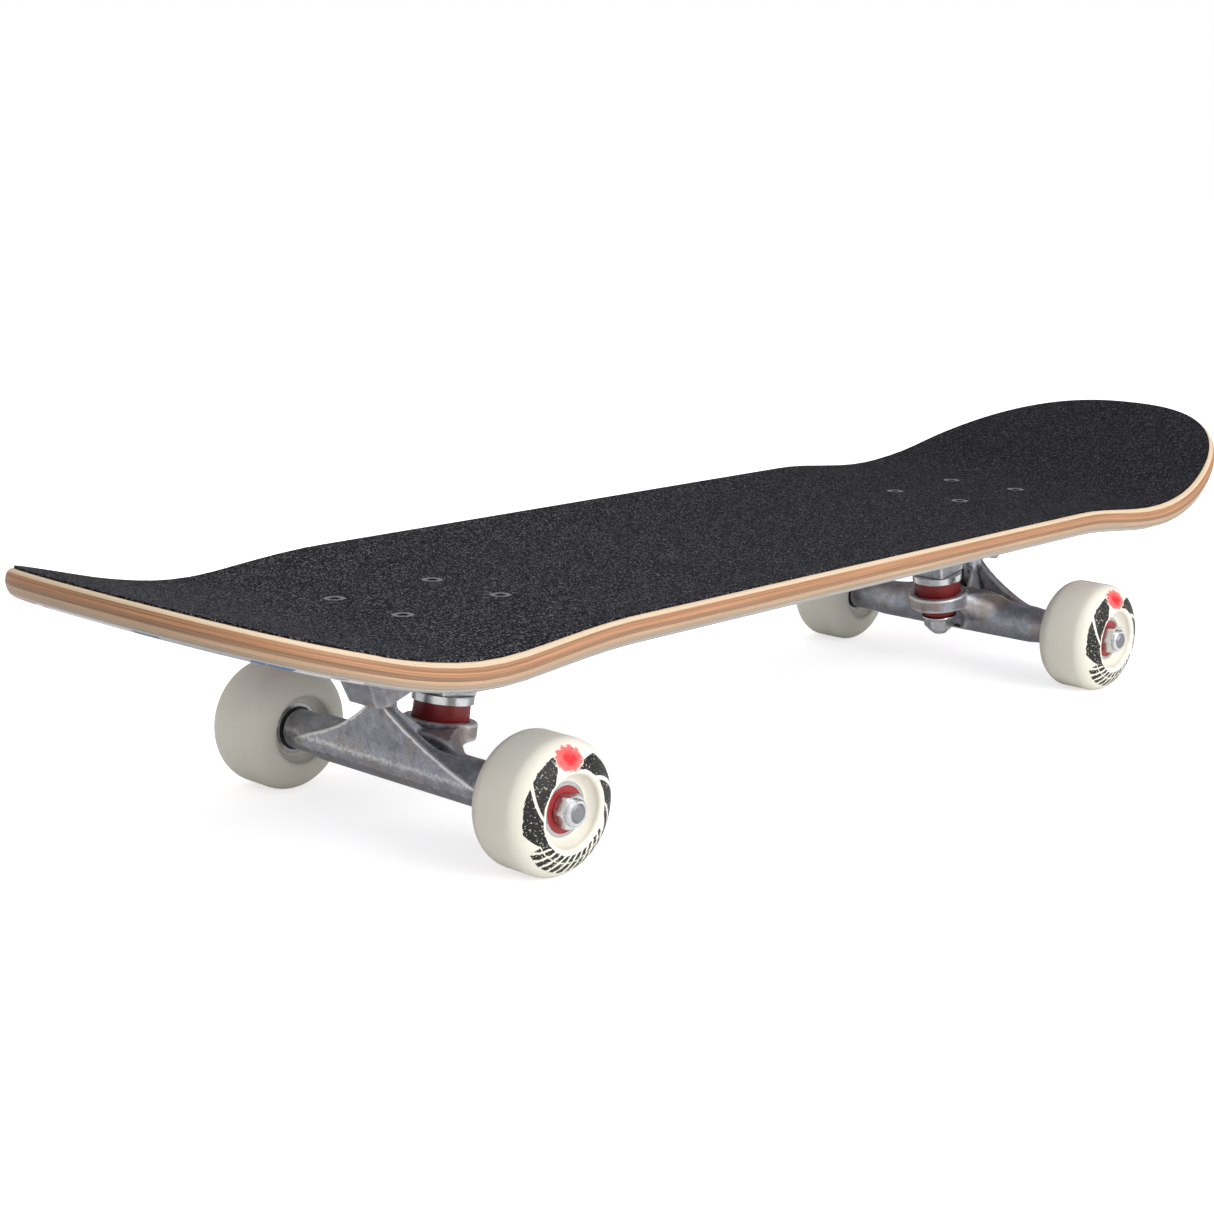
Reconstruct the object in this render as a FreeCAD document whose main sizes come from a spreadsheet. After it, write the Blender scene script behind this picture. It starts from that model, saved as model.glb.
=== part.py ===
import FreeCAD, Part
import Sketcher
import math
import os

# Skateboard: pressed seven-veneer deck, grip tape, two kingpin trucks, four wheels.
# Millimetres. +X points to the nose, +Y to the left, +Z up.
# The origin is on the ground, under the middle of the deck's outline.

V = FreeCAD.Vector
doc = FreeCAD.newDocument("skateboard")

# ---------------------------------------------------------------- driving sizes

SIZES = [
    # deck
    ("deck_length", 739.4),          # tip to tip
    ("deck_width", 196.85),
    ("veneer_thickness", 1.6),
    ("edge_depth", 3.2),             # how far the rounded edge runs in from the outline
    ("nose_length", 160.1),          # outer bolts to the nose tip
    ("nose_taper_length", 151.0),    # straight side to the nose tip
    ("tail_taper_length", 80.0),
    ("nose_fullness", 2.37),         # superellipse power of the end's outline
    ("tail_fullness", 2.8),
    ("nose_kick_angle", 16.1),
    ("tail_kick_angle", 16.0),
    ("nose_kick_radius", 194.0),
    ("tail_kick_radius", 250.0),
    ("nose_kick_margin", 16.8),      # outer bolts to where the kick starts
    ("tail_kick_margin", 2.0),
    ("concave_rise", 4.7),           # how far the rails stand above the flat middle
    ("concave_flat", 64.0),          # width of the flat middle
    ("nose_fade_margin", 58.7),      # how far before the outer bolts the rails start to drop
    ("tail_fade_margin", 53.5),
    ("nose_fade_length", 74.3),
    ("tail_fade_length", 91.5),
    ("nose_concave_left", -0.2),     # share of the concave that is left at the tip
    ("tail_concave_left", -0.3),
    ("grip_thickness", 0.9),
    # mounting hardware
    ("wheelbase", 337.8),            # between the inner bolt rows
    ("bolt_pitch_length", 53.975),
    ("bolt_pitch_width", 41.275),
    ("axle_outboard", 8.9),          # axles, outboard of the middle of their bolts
    ("bolt_diameter", 4.8),
    ("bolt_length", 25.4),
    ("bolt_head_diameter", 9.2),
    ("bolt_head_rim", 0.3),
    ("bolt_head_height", 2.2),       # of the cone under the rim
    ("deck_hole_diameter", 5.2),
    ("head_clearance", 0.1),         # radial, round the heads in the deck
    ("bolt_socket_width", 3.2),
    ("bolt_socket_depth", 1.8),
    ("bolt_nut_width", 9.5),
    ("bolt_nut_height", 5.0),
    ("nut_bevel_share", 0.08),       # every lock nut: bevel, as a share of its corner radius
    ("nut_flats_share", 0.72),       # its hexagon, as a share of its height
    ("nut_collar_share", 0.88),      # its collar, as a share of its width
    ("head_sink", 0.2),              # bolt heads lie this far under the grip's top
    # baseplate
    ("plate_length", 84.0),
    ("plate_width", 57.0),
    ("plate_thickness", 4.6),
    ("plate_corner_radius", 8.0),
    ("plate_hole_diameter", 5.4),
    ("plate_clearance", 0.05),       # paint and film between deck and baseplate
    ("nut_room_diameter", 13.0),     # clear space round each mounting nut
    ("boss_width", 20.0),            # square boss that the kingpin hangs from
    ("boss_flare", 4.0),             # how much wider each side of the boss is at the deck
    ("boss_flare_depth", 11.5),      # how far down it narrows
    ("head_pocket_diameter", 16.8),
    ("housing_width", 26.0),         # pivot housing, across its flats
    ("plate_rib_width", 9.0),
    ("truck_height", 56.0),          # axle centre to the top of the baseplate
    # steering pivot
    ("pivot_back", 11.5),            # pivot ball, outboard of the axle
    ("pivot_rise", 36.0),            # and above it
    ("pivot_ball_diameter", 12.8),
    ("pivot_clearance", 0.3),
    ("cup_diameter", 18.0),
    ("cup_lean", 18.0),              # the cup's top leans outboard by this angle
    ("cup_mouth_depth", 5.5),        # ball centre to the cup's mouth
    ("cup_roof", 2.4),
    ("cup_mouth_diameter", 16.2),
    # kingpin stack
    ("ring_forward", 20.5),          # middle of the hanger's ring, inboard of the axle
    ("ring_rise", 10.0),             # and above it
    ("kingpin_lean", 9.5),           # the nut's end leans outboard by this angle
    ("kingpin_diameter", 9.525),
    ("kingpin_head_width", 14.3),
    ("kingpin_head_height", 5.6),
    ("kingpin_head_sink", 1.5),
    ("kingpin_end", 1.8),            # thread left over below the nut
    ("kingpin_bevel", 1.0),
    ("kingpin_nut_width", 14.3),
    ("kingpin_nut_height", 7.0),
    ("bushing_diameter", 24.0),
    ("bushing_bore", 9.9),
    ("bushing_clearance", 0.3),
    ("boardside_bushing_height", 11.7),
    ("roadside_bushing_height", 7.5),
    ("roadside_bushing_diameter", 23.0),
    ("roadside_bushing_foot", 19.6), # its diameter at the small washer
    ("cup_washer_sheet", 1.6),
    ("cup_washer_lip", 1.7),         # lip beyond the sheet
    ("cup_washer_wall", 1.25),       # thickness of the lip
    ("large_washer_diameter", 26.6),
    ("small_washer_diameter", 22.4),
    # hanger
    ("ring_diameter", 32.0),
    ("ring_shelf", 3.0),             # metal between the two bushings
    ("ring_wall", 2.6),              # seat depth over and under the shelf
    ("ring_hole_diameter", 14.6),
    ("hanger_width", 135.0),         # axle shoulder to axle shoulder
    ("housing_diameter", 19.4),      # axle housing in the middle
    ("shoulder_diameter", 17.4),
    ("shoulder_length", 12.0),
    ("web_half_width", 47.0),        # front web, at the axle housing
    ("web_waist_half_width", 23.0),
    ("web_waist_rise", 10.5),
    ("web_waist_lean", 1.0),         # the waist lies this far outboard of the foot
    ("web_neck_half_width", 6.5),
    ("web_thickness", 7.6),
    ("neck_diameter", 10.2),
    ("neck_foot_diameter", 10.8),
    ("yoke_half_width", 40.0),       # yoke, at the axle housing
    ("yoke_drop", 5.3),              # its underside there, below the axle
    ("yoke_rise", 7.8),              # its top there, above the axle
    ("yoke_tip_half_width", 15.0),   # at the ring
    ("rib_width", 7.0),
    ("relief_clearance", 2.4),       # room round the small washer
    # axle and its small parts
    ("axle_diameter", 7.94),
    ("axle_length", 201.4),
    ("axle_tip", 0.8),               # bevel at each end
    ("axle_nut_width", 12.7),
    ("axle_nut_height", 6.4),
    ("washer_thickness", 1.0),
    ("washer_diameter", 12.8),
    ("spacer_length", 10.0),
    ("spacer_diameter", 10.6),
    ("running_clearance", 0.03),     # radial, bores on the axle
    # bearing
    ("bearing_diameter", 22.0),
    ("bearing_bore", 8.0),
    ("bearing_width", 7.0),
    ("inner_ring_diameter", 12.1),
    ("outer_ring_bore", 17.8),
    ("seal_bore", 12.7),
    ("seal_diameter", 19.2),
    ("seal_thickness", 0.7),
    ("seal_sink", 0.25),
    ("ball_diameter", 3.969),
    ("ball_pitch_diameter", 15.0),
    ("groove_clearance", 0.05),
    ("cage_bore", 13.8),
    ("cage_diameter", 16.2),
    ("cage_width", 4.8),
    ("cage_clearance", 0.1),
    # wheel
    ("wheel_diameter", 56.0),
    ("wheel_width", 36.0),
    ("lip_diameter", 33.0),          # inner edge of the wheel's rounded sides
    ("tread_round_radius", 11.4),
    ("hub_bore", 19.0),              # between the bearings
    ("bowl_diameter", 24.0),         # foot of the bowl round each bearing
]

VENEER_COUNT = 7
BALL_COUNT = 7

sheet = doc.addObject("Spreadsheet::Sheet", "Sizes")
for row, (alias, value) in enumerate(SIZES, start=1):
    sheet.set(f"A{row}", alias)
    sheet.set(f"B{row}", str(value))
    sheet.setAlias(f"B{row}", alias)
doc.recompute()


class Measure(float):
    """A number that remembers the sheet expression it was worked out from."""

    def __new__(cls, number, text):
        measure = super().__new__(cls, number)
        measure.text = text
        return measure

    def __add__(self, other):
        return Measure(float(self) + float(other), f"({self.text} + {text_of(other)})")

    def __sub__(self, other):
        return Measure(float(self) - float(other), f"({self.text} - {text_of(other)})")

    def __mul__(self, other):
        return Measure(float(self) * float(other), f"({self.text} * {text_of(other)})")

    def __neg__(self):
        return self * -1

    def __truediv__(self, other):
        return Measure(float(self) / float(other), f"({self.text} / {text_of(other)})")


def text_of(number):
    return number.text if isinstance(number, Measure) else repr(float(number))


class Cells:
    """The sheet's cells, each as a Measure."""

    def __getattr__(self, alias):
        return Measure(float(sheet.get(alias)), "Sizes." + alias)


size = Cells()

# ---------------------------------------------------------------- derived places

WHEEL_RADIUS = size.wheel_diameter / 2
END_HOLES = size.bolt_pitch_length * 2 + size.wheelbase
TAIL_LENGTH = size.deck_length - size.nose_length - END_HOLES
TRUCK_MIDDLE = (TAIL_LENGTH - size.nose_length) / 2
BOLT_SPREAD = (size.wheelbase + size.bolt_pitch_length) / 2
TRUCK_SPREAD = BOLT_SPREAD + size.axle_outboard
DECK_FLOOR = WHEEL_RADIUS + size.truck_height
DECK_THICKNESS = size.veneer_thickness * VENEER_COUNT
GRIP_TOP = DECK_FLOOR + DECK_THICKNESS + size.grip_thickness

# Along the kingpin, measured down from the deck's underside.
LEAN = math.radians(size.kingpin_lean)
RING_DEPTH = (size.truck_height - size.ring_rise) / math.cos(LEAN)
KINGPIN_TOP = V(size.ring_forward + RING_DEPTH * math.sin(LEAN), 0, size.truck_height)
SHELF_TOP = RING_DEPTH - size.ring_shelf / 2
SHELF_FLOOR = RING_DEPTH + size.ring_shelf / 2
BOARDSIDE_TOP = SHELF_TOP - size.boardside_bushing_height
BOSS_END = BOARDSIDE_TOP - size.cup_washer_sheet
ROADSIDE_END = SHELF_FLOOR + size.roadside_bushing_height
NUT_TOP = ROADSIDE_END + size.cup_washer_sheet
KINGPIN_TIP = NUT_TOP + size.kingpin_nut_height + size.kingpin_end
HEAD_END = size.kingpin_head_sink + size.kingpin_head_height

# Along the axle, measured out from the board's middle plane.
SHOULDER = size.hanger_width / 2
INNER_BEARING = SHOULDER + size.washer_thickness
OUTER_BEARING = INNER_BEARING + size.bearing_width + size.spacer_length
STACK_END = OUTER_BEARING + size.bearing_width
WHEEL_MIDDLE = (INNER_BEARING + STACK_END) / 2

PIVOT = V(-size.pivot_back, 0, size.pivot_rise)

# ---------------------------------------------------------------- placements

TRUCKS = {
    "front": (TRUCK_MIDDLE + TRUCK_SPREAD, 180.0),
    "rear": (TRUCK_MIDDLE - TRUCK_SPREAD, 0.0),
}
SIDES = {"left": 1, "right": -1}


def truck_place(end):
    """A truck's own frame: axle centre, +X towards the middle of the board."""
    x, turn = TRUCKS[end]
    return FreeCAD.Placement(V(x, 0, WHEEL_RADIUS), FreeCAD.Rotation(V(0, 0, 1), turn))


def kingpin_place():
    """In the truck's frame: origin at the deck, +Z down the kingpin."""
    return FreeCAD.Placement(KINGPIN_TOP, FreeCAD.Rotation(V(0, 1, 0), 180 + size.kingpin_lean))


def cup_place():
    """In the truck's frame: origin at the pivot ball, +Z up into the cup."""
    return FreeCAD.Placement(PIVOT, FreeCAD.Rotation(V(0, 1, 0), -size.cup_lean))


def axle_place(end, side):
    """Origin at the axle's middle, +Z out along the axle on the given side."""
    turn = FreeCAD.Rotation(V(1, 0, 0), -90 * SIDES[side])
    return FreeCAD.Placement(V(TRUCKS[end][0], 0, WHEEL_RADIUS), turn)


def shifted(place, distance):
    """The same placement, moved along its own +Z."""
    return place.multiply(FreeCAD.Placement(V(0, 0, distance), FreeCAD.Rotation()))


# ---------------------------------------------------------------- object makers

nodes = []


def keep(thing, label):
    """Names a finished sub-part and puts it on the list to be written."""
    thing.Label = label
    nodes.append(thing)
    return thing


def bind(thing, **properties):
    """Sets an object's properties, those that are Measures by expression."""
    for name, amount in properties.items():
        if isinstance(amount, Measure):
            thing.setExpression(name, amount.text)
        else:
            setattr(thing, name, amount)
    return thing


def primitive(kind, name, place, **properties):
    thing = bind(doc.addObject(kind, name), **properties)
    thing.Placement = place
    return thing


def cut(name, base, tool):
    return bind(doc.addObject("Part::Cut", name), Base=base, Tool=tool)


def common(name, base, tool):
    return bind(doc.addObject("Part::Common", name), Base=base, Tool=tool)


def fuse(name, base, tool):
    return bind(doc.addObject("Part::Fuse", name), Base=base, Tool=tool)


def group(name, things):
    """Separate solids that share one node, or one cutting tool."""
    return bind(doc.addObject("Part::Compound", name), Links=things)


def hexagon(name, width, depth, place):
    """A hexagonal prism, width across its flats, up its place's +Z."""
    corner = width / math.sqrt(3)
    return primitive("Part::Prism", name, place, Polygon=6, Circumradius=corner, Height=depth)


def shaped(name, shape, place=FreeCAD.Placement()):
    thing = doc.addObject("Part::Feature", name)
    thing.Shape = shape
    thing.Placement = place
    return thing


def turned(name, outline, place=FreeCAD.Placement()):
    """A body turned about its own Z from an outline of (radius, height) corners."""
    body = doc.addObject("PartDesign::Body", name)
    sketch = body.newObject("Sketcher::SketchObject", name + "_profile")
    plane = [feature for feature in body.Origin.OriginFeatures if feature.Role == "XZ_Plane"][0]
    sketch.AttachmentSupport = [(plane, "")]
    sketch.MapMode = "FlatFace"
    corners = [V(radius, height, 0) for radius, height in outline]
    for corner, following in zip(corners, corners[1:] + corners[:1]):
        sketch.addGeometry(Part.LineSegment(corner, following), False)
    for i, (radius, height) in enumerate(outline):
        sketch.addConstraint(Sketcher.Constraint("Coincident", i - 1 if i else len(outline) - 1, 2, i, 1))
        pin_coordinate(sketch, "DistanceX", -2, i, radius)
        pin_coordinate(sketch, "DistanceY", -1, i, height)
    spin = body.newObject("PartDesign::Revolution", name + "_turned")
    spin.Profile = sketch
    spin.ReferenceAxis = (sketch, ["V_Axis"])
    spin.Angle = 360
    body.Tip = spin
    body.Placement = place
    return body


def pin_coordinate(sketch, kind, axis, corner, amount):
    """Ties one coordinate of a sketch corner to the sheet, or to an axis where it is nought."""
    if float(amount) == 0:
        sketch.addConstraint(Sketcher.Constraint("PointOnObject", corner, 1, axis))
        return
    index = sketch.addConstraint(Sketcher.Constraint(kind, -1, 1, corner, 1, float(amount)))
    if isinstance(amount, Measure):
        sketch.setExpression(f"Constraints[{index}]", amount.text)


def ring(name, bore, rim, start, end, place):
    """A plain turned ring between two diameters and two heights."""
    outline = [(bore / 2, start), (rim / 2, start), (rim / 2, end), (bore / 2, end)]
    return turned(name, outline, place)


def lock_nut(name, width, height, bore, place):
    """A hexagon nut with bevelled corners and a round collar that holds its nylon ring."""
    corner = width / math.sqrt(3)
    bevel = corner * size.nut_bevel_share
    flats = height * size.nut_flats_share
    collar = width * size.nut_collar_share / 2
    outline = [
        (0, 0), (corner - bevel, 0), (corner, bevel), (corner, flats - bevel),
        (corner - bevel, flats), (collar, flats), (collar, height - bevel), (collar - bevel, height),
        (0, height),
    ]
    blank = hexagon(name + "_hexagon", width, height, place)
    form = turned(name + "_form", outline, place)
    hole = primitive("Part::Cylinder", name + "_hole", place, Radius=bore / 2, Height=height)
    return cut(name, common(name + "_blank", blank, form), hole)


# ---------------------------------------------------------------- deck


def smooth_step(share):
    share = min(max(share, 0), 1)
    return share * share * (3 - 2 * share)


def kick_rise(run, radius, angle):
    """Height of a kick at a distance past its start: an arc, then a straight ramp."""
    arc = radius * math.sin(angle)
    if run <= 0:
        return 0
    if run <= arc:
        return radius - math.sqrt(radius * radius - run * run)
    return radius * (1 - math.cos(angle)) + (run - arc) * math.tan(angle)


def deck_rise(x, y):
    """Height of the pressed sheet over its flat middle."""
    x = x - TRUCK_MIDDLE
    last_hole = END_HOLES / 2
    nose = kick_rise(x - last_hole - size.nose_kick_margin, size.nose_kick_radius,
                     math.radians(size.nose_kick_angle))
    tail = kick_rise(-x - last_hole - size.tail_kick_margin, size.tail_kick_radius,
                     math.radians(size.tail_kick_angle))
    nose_fade = smooth_step((x - last_hole + size.nose_fade_margin) / size.nose_fade_length)
    tail_fade = smooth_step((-x - last_hole + size.tail_fade_margin) / size.tail_fade_length)
    left = 1 - nose_fade * (1 - size.nose_concave_left) - tail_fade * (1 - size.tail_concave_left)
    flat = size.concave_flat / 2
    run = max(abs(y) - flat, 0) / (size.deck_width / 2 - flat)
    return nose + tail + size.concave_rise * run * run * left


def deck_surface():
    """The pressed sheet's underside, a little larger than the deck all round."""
    margin = size.deck_width / 20
    along, across = 64, 40
    half_length = size.deck_length / 2 + margin
    half_width = size.deck_width / 2 + margin
    grid = []
    for i in range(along + 1):
        x = half_length * (2 * i / along - 1)
        row_of_points = []
        for j in range(across + 1):
            y = half_width * (2 * j / across - 1)
            row_of_points.append(V(x, y, DECK_FLOOR + deck_rise(x, y)))
        grid.append(row_of_points)
    surface = Part.BSplineSurface()
    surface.interpolate(grid)
    return surface.toShape()


def end_curve(tip, half_width, taper, power, toward):
    """One end of the outline, a half superellipse from one rail round to the other."""
    steps = 16
    points = []
    for i in range(steps + 1):
        angle = math.pi * (i / steps - 0.5)
        reach = max(math.cos(angle), 0) ** (2 / power)
        side = math.copysign(abs(math.sin(angle)) ** (2 / power), math.sin(angle))
        points.append(V(toward * (tip - taper * (1 - reach)), toward * half_width * side, 0))
    curve = Part.BSplineCurve()
    ahead = V(toward, 0, 0)
    curve.interpolate(Points=points, InitialTangent=ahead, FinalTangent=-ahead)
    return curve.toShape()


def outline_face(inset):
    """The deck's outline, drawn in by an inset, as a flat face."""
    half_width = size.deck_width / 2 - inset
    tip = size.deck_length / 2 - inset
    nose = end_curve(tip, half_width, size.nose_taper_length - inset, size.nose_fullness, 1)
    tail = end_curve(tip, half_width, size.tail_taper_length - inset, size.tail_fullness, -1)
    left = Part.makeLine(nose.Vertexes[-1].Point, tail.Vertexes[0].Point)
    right = Part.makeLine(tail.Vertexes[-1].Point, nose.Vertexes[0].Point)
    return Part.Face(Part.Wire([nose, left, tail, right]))


def edge_inset(height):
    """How far the rounded edge lies in from the outline, at a height in the deck's thickness."""
    half = float(DECK_THICKNESS) / 2
    share = min(abs(height - half) / half, 1)
    return size.edge_depth * (1 - math.sqrt(1 - share * share))


def sheet_layer(surface, inset, height, thickness):
    """A layer of the deck, from the pressed sheet trimmed to an outline."""
    tall = 2 * float(size.deck_length)
    trimmer = outline_face(inset).extrude(V(0, 0, tall))
    layer = surface.common(trimmer).Faces[0].extrude(V(0, 0, thickness))
    layer.translate(V(0, 0, height))
    return layer


def bolt_places():
    """Where the mounting bolts' heads lie, +Z down the bolt."""
    places = []
    for middle in (TRUCK_MIDDLE - BOLT_SPREAD, TRUCK_MIDDLE + BOLT_SPREAD):
        for along in (-0.5, 0.5):
            for across in (-0.5, 0.5):
                head = V(middle + along * size.bolt_pitch_length, across * size.bolt_pitch_width,
                         GRIP_TOP - size.head_sink)
                places.append(FreeCAD.Placement(head, FreeCAD.Rotation(V(1, 0, 0), 180)))
    return places


def bolt_holes():
    """The cutters for the deck's countersunk holes."""
    head = size.bolt_head_diameter / 2 + size.head_clearance
    neck = size.bolt_diameter / 2 + size.head_clearance
    shank = size.deck_hole_diameter / 2
    above = -2 * size.grip_thickness
    cone_end = size.bolt_head_rim + size.bolt_head_height * (head - shank) / (head - neck)
    outline = [V(0, 0, above), V(head, 0, above), V(head, 0, size.bolt_head_rim), V(shank, 0, cone_end),
               V(shank, 0, size.bolt_length), V(0, 0, size.bolt_length), V(0, 0, above)]
    cutter = Part.Face(Part.makePolygon(outline)).revolve(V(), V(0, 0, 1), 360).toNurbs()
    cutters = []
    for place in bolt_places():
        copy = cutter.copy()
        copy.Placement = place
        cutters.append(copy)
    return cutters


def make_deck():
    surface = deck_surface()
    holes = bolt_holes()
    step = float(size.veneer_thickness)
    for i in range(VENEER_COUNT):
        inset = edge_inset((i + 0.5) * step)
        layer = sheet_layer(surface, inset, i * step, step)
        keep(shaped(f"deck_veneer_{i + 1}", layer.cut(holes)), f"deck_veneer_{i + 1}")
    grip = sheet_layer(surface, size.edge_depth, VENEER_COUNT * step, size.grip_thickness)
    keep(shaped("grip_tape", grip.cut(holes)), "grip_tape")


def make_mounting_hardware():
    bolts = []
    nuts = []
    for i, place in enumerate(bolt_places(), start=1):
        shank = size.bolt_diameter / 2
        head = size.bolt_head_diameter / 2
        under_head = size.bolt_head_rim + size.bolt_head_height
        outline = [
            (0, 0), (head, 0), (head, size.bolt_head_rim), (shank, under_head),
            (shank, size.bolt_length), (0, size.bolt_length),
        ]
        blank = turned(f"bolt_{i}_blank", outline, place)
        socket = hexagon(f"bolt_{i}_socket", size.bolt_socket_width, size.bolt_socket_depth, place)
        bolts.append(cut(f"bolt_{i}", blank, socket))
        seat = V(place.Base.x, place.Base.y, DECK_FLOOR - size.plate_clearance - size.plate_thickness)
        nut_place = FreeCAD.Placement(seat, place.Rotation)
        nuts.append(lock_nut(f"bolt_nut_{i}", size.bolt_nut_width, size.bolt_nut_height,
                             size.bolt_diameter, nut_place))
    keep(group("mounting_bolts", bolts), "mounting_bolts")
    keep(group("mounting_nuts", nuts), "mounting_nuts")


# ---------------------------------------------------------------- truck castings


def block_face(x_low, x_high, half_width, height):
    """A level rectangle, as a wire for a loft."""
    corners = [V(x_low, -half_width, height), V(x_high, -half_width, height),
               V(x_high, half_width, height), V(x_low, half_width, height)]
    return Part.makePolygon(corners + corners[:1])


def upright_face(x, half_width, floor, top):
    """An upright rectangle across the truck, as a wire for a loft."""
    corners = [V(x, -half_width, floor), V(x, half_width, floor),
               V(x, half_width, top), V(x, -half_width, top)]
    return Part.makePolygon(corners + corners[:1])


def loft(*wires):
    return Part.makeLoft(list(wires), True, True)


def placed(shape, place):
    shape.Placement = place.multiply(shape.Placement)
    return shape


def octagon_prism(width, start, end):
    corner = width / 2 / math.cos(math.pi / 8)
    points = []
    for i in range(9):
        angle = math.pi / 8 + i * math.pi / 4
        points.append(V(corner * math.cos(angle), corner * math.sin(angle), start))
    return Part.Face(Part.makePolygon(points)).extrude(V(0, 0, end - start))


def cylinder(diameter, start, end):
    return Part.makeCylinder(diameter / 2, end - start, V(0, 0, start))


def baseplate_shape():
    """The fixed casting, in the truck's frame."""
    top = size.truck_height - size.plate_clearance
    floor = top - size.plate_thickness
    middle = size.axle_outboard
    plate = Part.makeBox(size.plate_length, size.plate_width, size.plate_thickness,
                         V(middle - size.plate_length / 2, -size.plate_width / 2, floor))
    upright = [edge for edge in plate.Edges if abs(edge.tangentAt(edge.FirstParameter).z) > 0.99]
    plate = plate.makeFillet(size.plate_corner_radius, upright)

    half_boss = size.boss_width / 2
    flared = half_boss + size.boss_flare
    boss = loft(block_face(-flared, flared, flared, 0),
                block_face(-half_boss, half_boss, half_boss, size.boss_flare_depth),
                block_face(-half_boss, half_boss, half_boss, BOSS_END))
    placed(boss, kingpin_place())

    roof = size.pivot_ball_diameter / 2 + size.pivot_clearance + size.cup_roof
    housing = placed(octagon_prism(size.housing_width, -size.cup_mouth_depth, size.truck_height),
                     cup_place())
    rib = loft(block_face(PIVOT.x, KINGPIN_TOP.x, size.plate_rib_width / 2, PIVOT.z),
               block_face(PIVOT.x, KINGPIN_TOP.x, size.plate_rib_width, floor + size.plate_thickness / 2))

    casting = plate.fuse([boss, housing, rib])
    room = 4 * size.truck_height
    sky = Part.makeBox(room, room, room, V(-room / 2, -room / 2, top))
    cup_pocket = placed(cylinder(size.cup_diameter, -size.cup_mouth_depth * 2, roof), cup_place())
    pin_hole = placed(cylinder(size.kingpin_diameter, 0, KINGPIN_TIP), kingpin_place())
    head_pocket = placed(cylinder(size.head_pocket_diameter, -HEAD_END, HEAD_END), kingpin_place())
    tools = [sky, cup_pocket, pin_hole, head_pocket]
    for along in (-0.5, 0.5):
        for across in (-0.5, 0.5):
            corner = V(middle + along * size.bolt_pitch_length, across * size.bolt_pitch_width, 0)
            tools.append(Part.makeCylinder(size.plate_hole_diameter / 2, size.truck_height, corner))
            tools.append(Part.makeCylinder(size.nut_room_diameter / 2, floor, corner))
    return casting.cut(tools)


def hanger_shape():
    """The steering casting, in the truck's frame."""
    middle = size.housing_diameter / 2
    end = size.shoulder_diameter / 2
    straight = SHOULDER - size.shoulder_length
    taper = size.web_half_width
    half = Part.makePolygon([V(0, 0, 0), V(middle, 0, 0), V(middle, 0, taper), V(end, 0, straight),
                             V(end, 0, SHOULDER), V(0, 0, SHOULDER), V(0, 0, 0)])
    arm = Part.Face(half).revolve(V(0, 0, 0), V(0, 0, 1), 360)
    arms = [placed(arm.copy(), FreeCAD.Placement(V(), FreeCAD.Rotation(V(1, 0, 0), turn)))
            for turn in (-90, 90)]

    # Front web: from the axle housing up to the neck under the pivot ball.
    thick = size.web_thickness
    neck_half = size.web_neck_half_width
    neck_base = V(PIVOT.x, 0, PIVOT.z - size.cup_mouth_depth - neck_half)
    waist = -middle - size.web_waist_lean
    web = loft(block_face(-middle, thick - middle, size.web_half_width, 0),
               block_face(waist, waist + thick, size.web_waist_half_width, size.web_waist_rise),
               block_face(PIVOT.x - thick / 2, PIVOT.x + thick / 2, neck_half, neck_base.z))
    neck = Part.makeCone(size.neck_foot_diameter / 2, size.neck_diameter / 2, PIVOT.z - neck_base.z,
                         neck_base, V(0, 0, 1))
    foot = Part.makeSphere(size.neck_foot_diameter / 2, neck_base)
    ball = Part.makeSphere(size.pivot_ball_diameter / 2, PIVOT)

    # Yoke: from the axle housing out to the ring round the kingpin.
    ring_floor = RING_DEPTH + size.ring_shelf / 2 + size.ring_wall
    ring_top = RING_DEPTH - size.ring_shelf / 2 - size.ring_wall
    collar = placed(cylinder(size.ring_diameter, ring_top, ring_floor), kingpin_place())
    near = upright_face(0, size.yoke_half_width, -size.yoke_drop, size.yoke_rise)
    far = upright_face(size.ring_forward, size.yoke_tip_half_width,
                       size.ring_rise - size.ring_wall, size.ring_rise + size.ring_wall)
    yoke = loft(near, far)

    # Middle rib between the web and the ring.
    inner = size.ring_forward - size.bushing_diameter / 2 - size.ring_wall
    side = Part.makePolygon([V(PIVOT.x, 0, neck_base.z), V(PIVOT.x + thick / 2, 0, neck_base.z),
                             V(inner, 0, size.ring_rise + size.ring_wall), V(inner, 0, size.ring_rise),
                             V(PIVOT.x, 0, 0), V(PIVOT.x, 0, neck_base.z)])
    rib = Part.Face(side).extrude(V(0, size.rib_width, 0))
    rib.translate(V(0, -size.rib_width / 2, 0))

    casting = arms[0].fuse([arms[1], web, neck, foot, ball, collar, yoke, rib])

    gap = size.bushing_clearance * 2
    over = cylinder(size.bushing_diameter + gap, SHELF_TOP - size.truck_height, SHELF_TOP)
    under = cylinder(size.roadside_bushing_diameter + gap, SHELF_FLOOR, ring_floor)
    hole = cylinder(size.ring_hole_diameter, ring_top, ring_floor)
    relief = cylinder(size.small_washer_diameter + 2 * size.relief_clearance, ring_floor,
                      KINGPIN_TIP + size.truck_height)
    tools = [placed(tool, kingpin_place()) for tool in (over, under, hole, relief)]
    axle_hole = Part.makeCylinder(size.axle_diameter / 2, 2 * SHOULDER, V(0, -SHOULDER, 0), V(0, 1, 0))
    return casting.cut(tools + [axle_hole])


# ---------------------------------------------------------------- truck assembly


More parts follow.
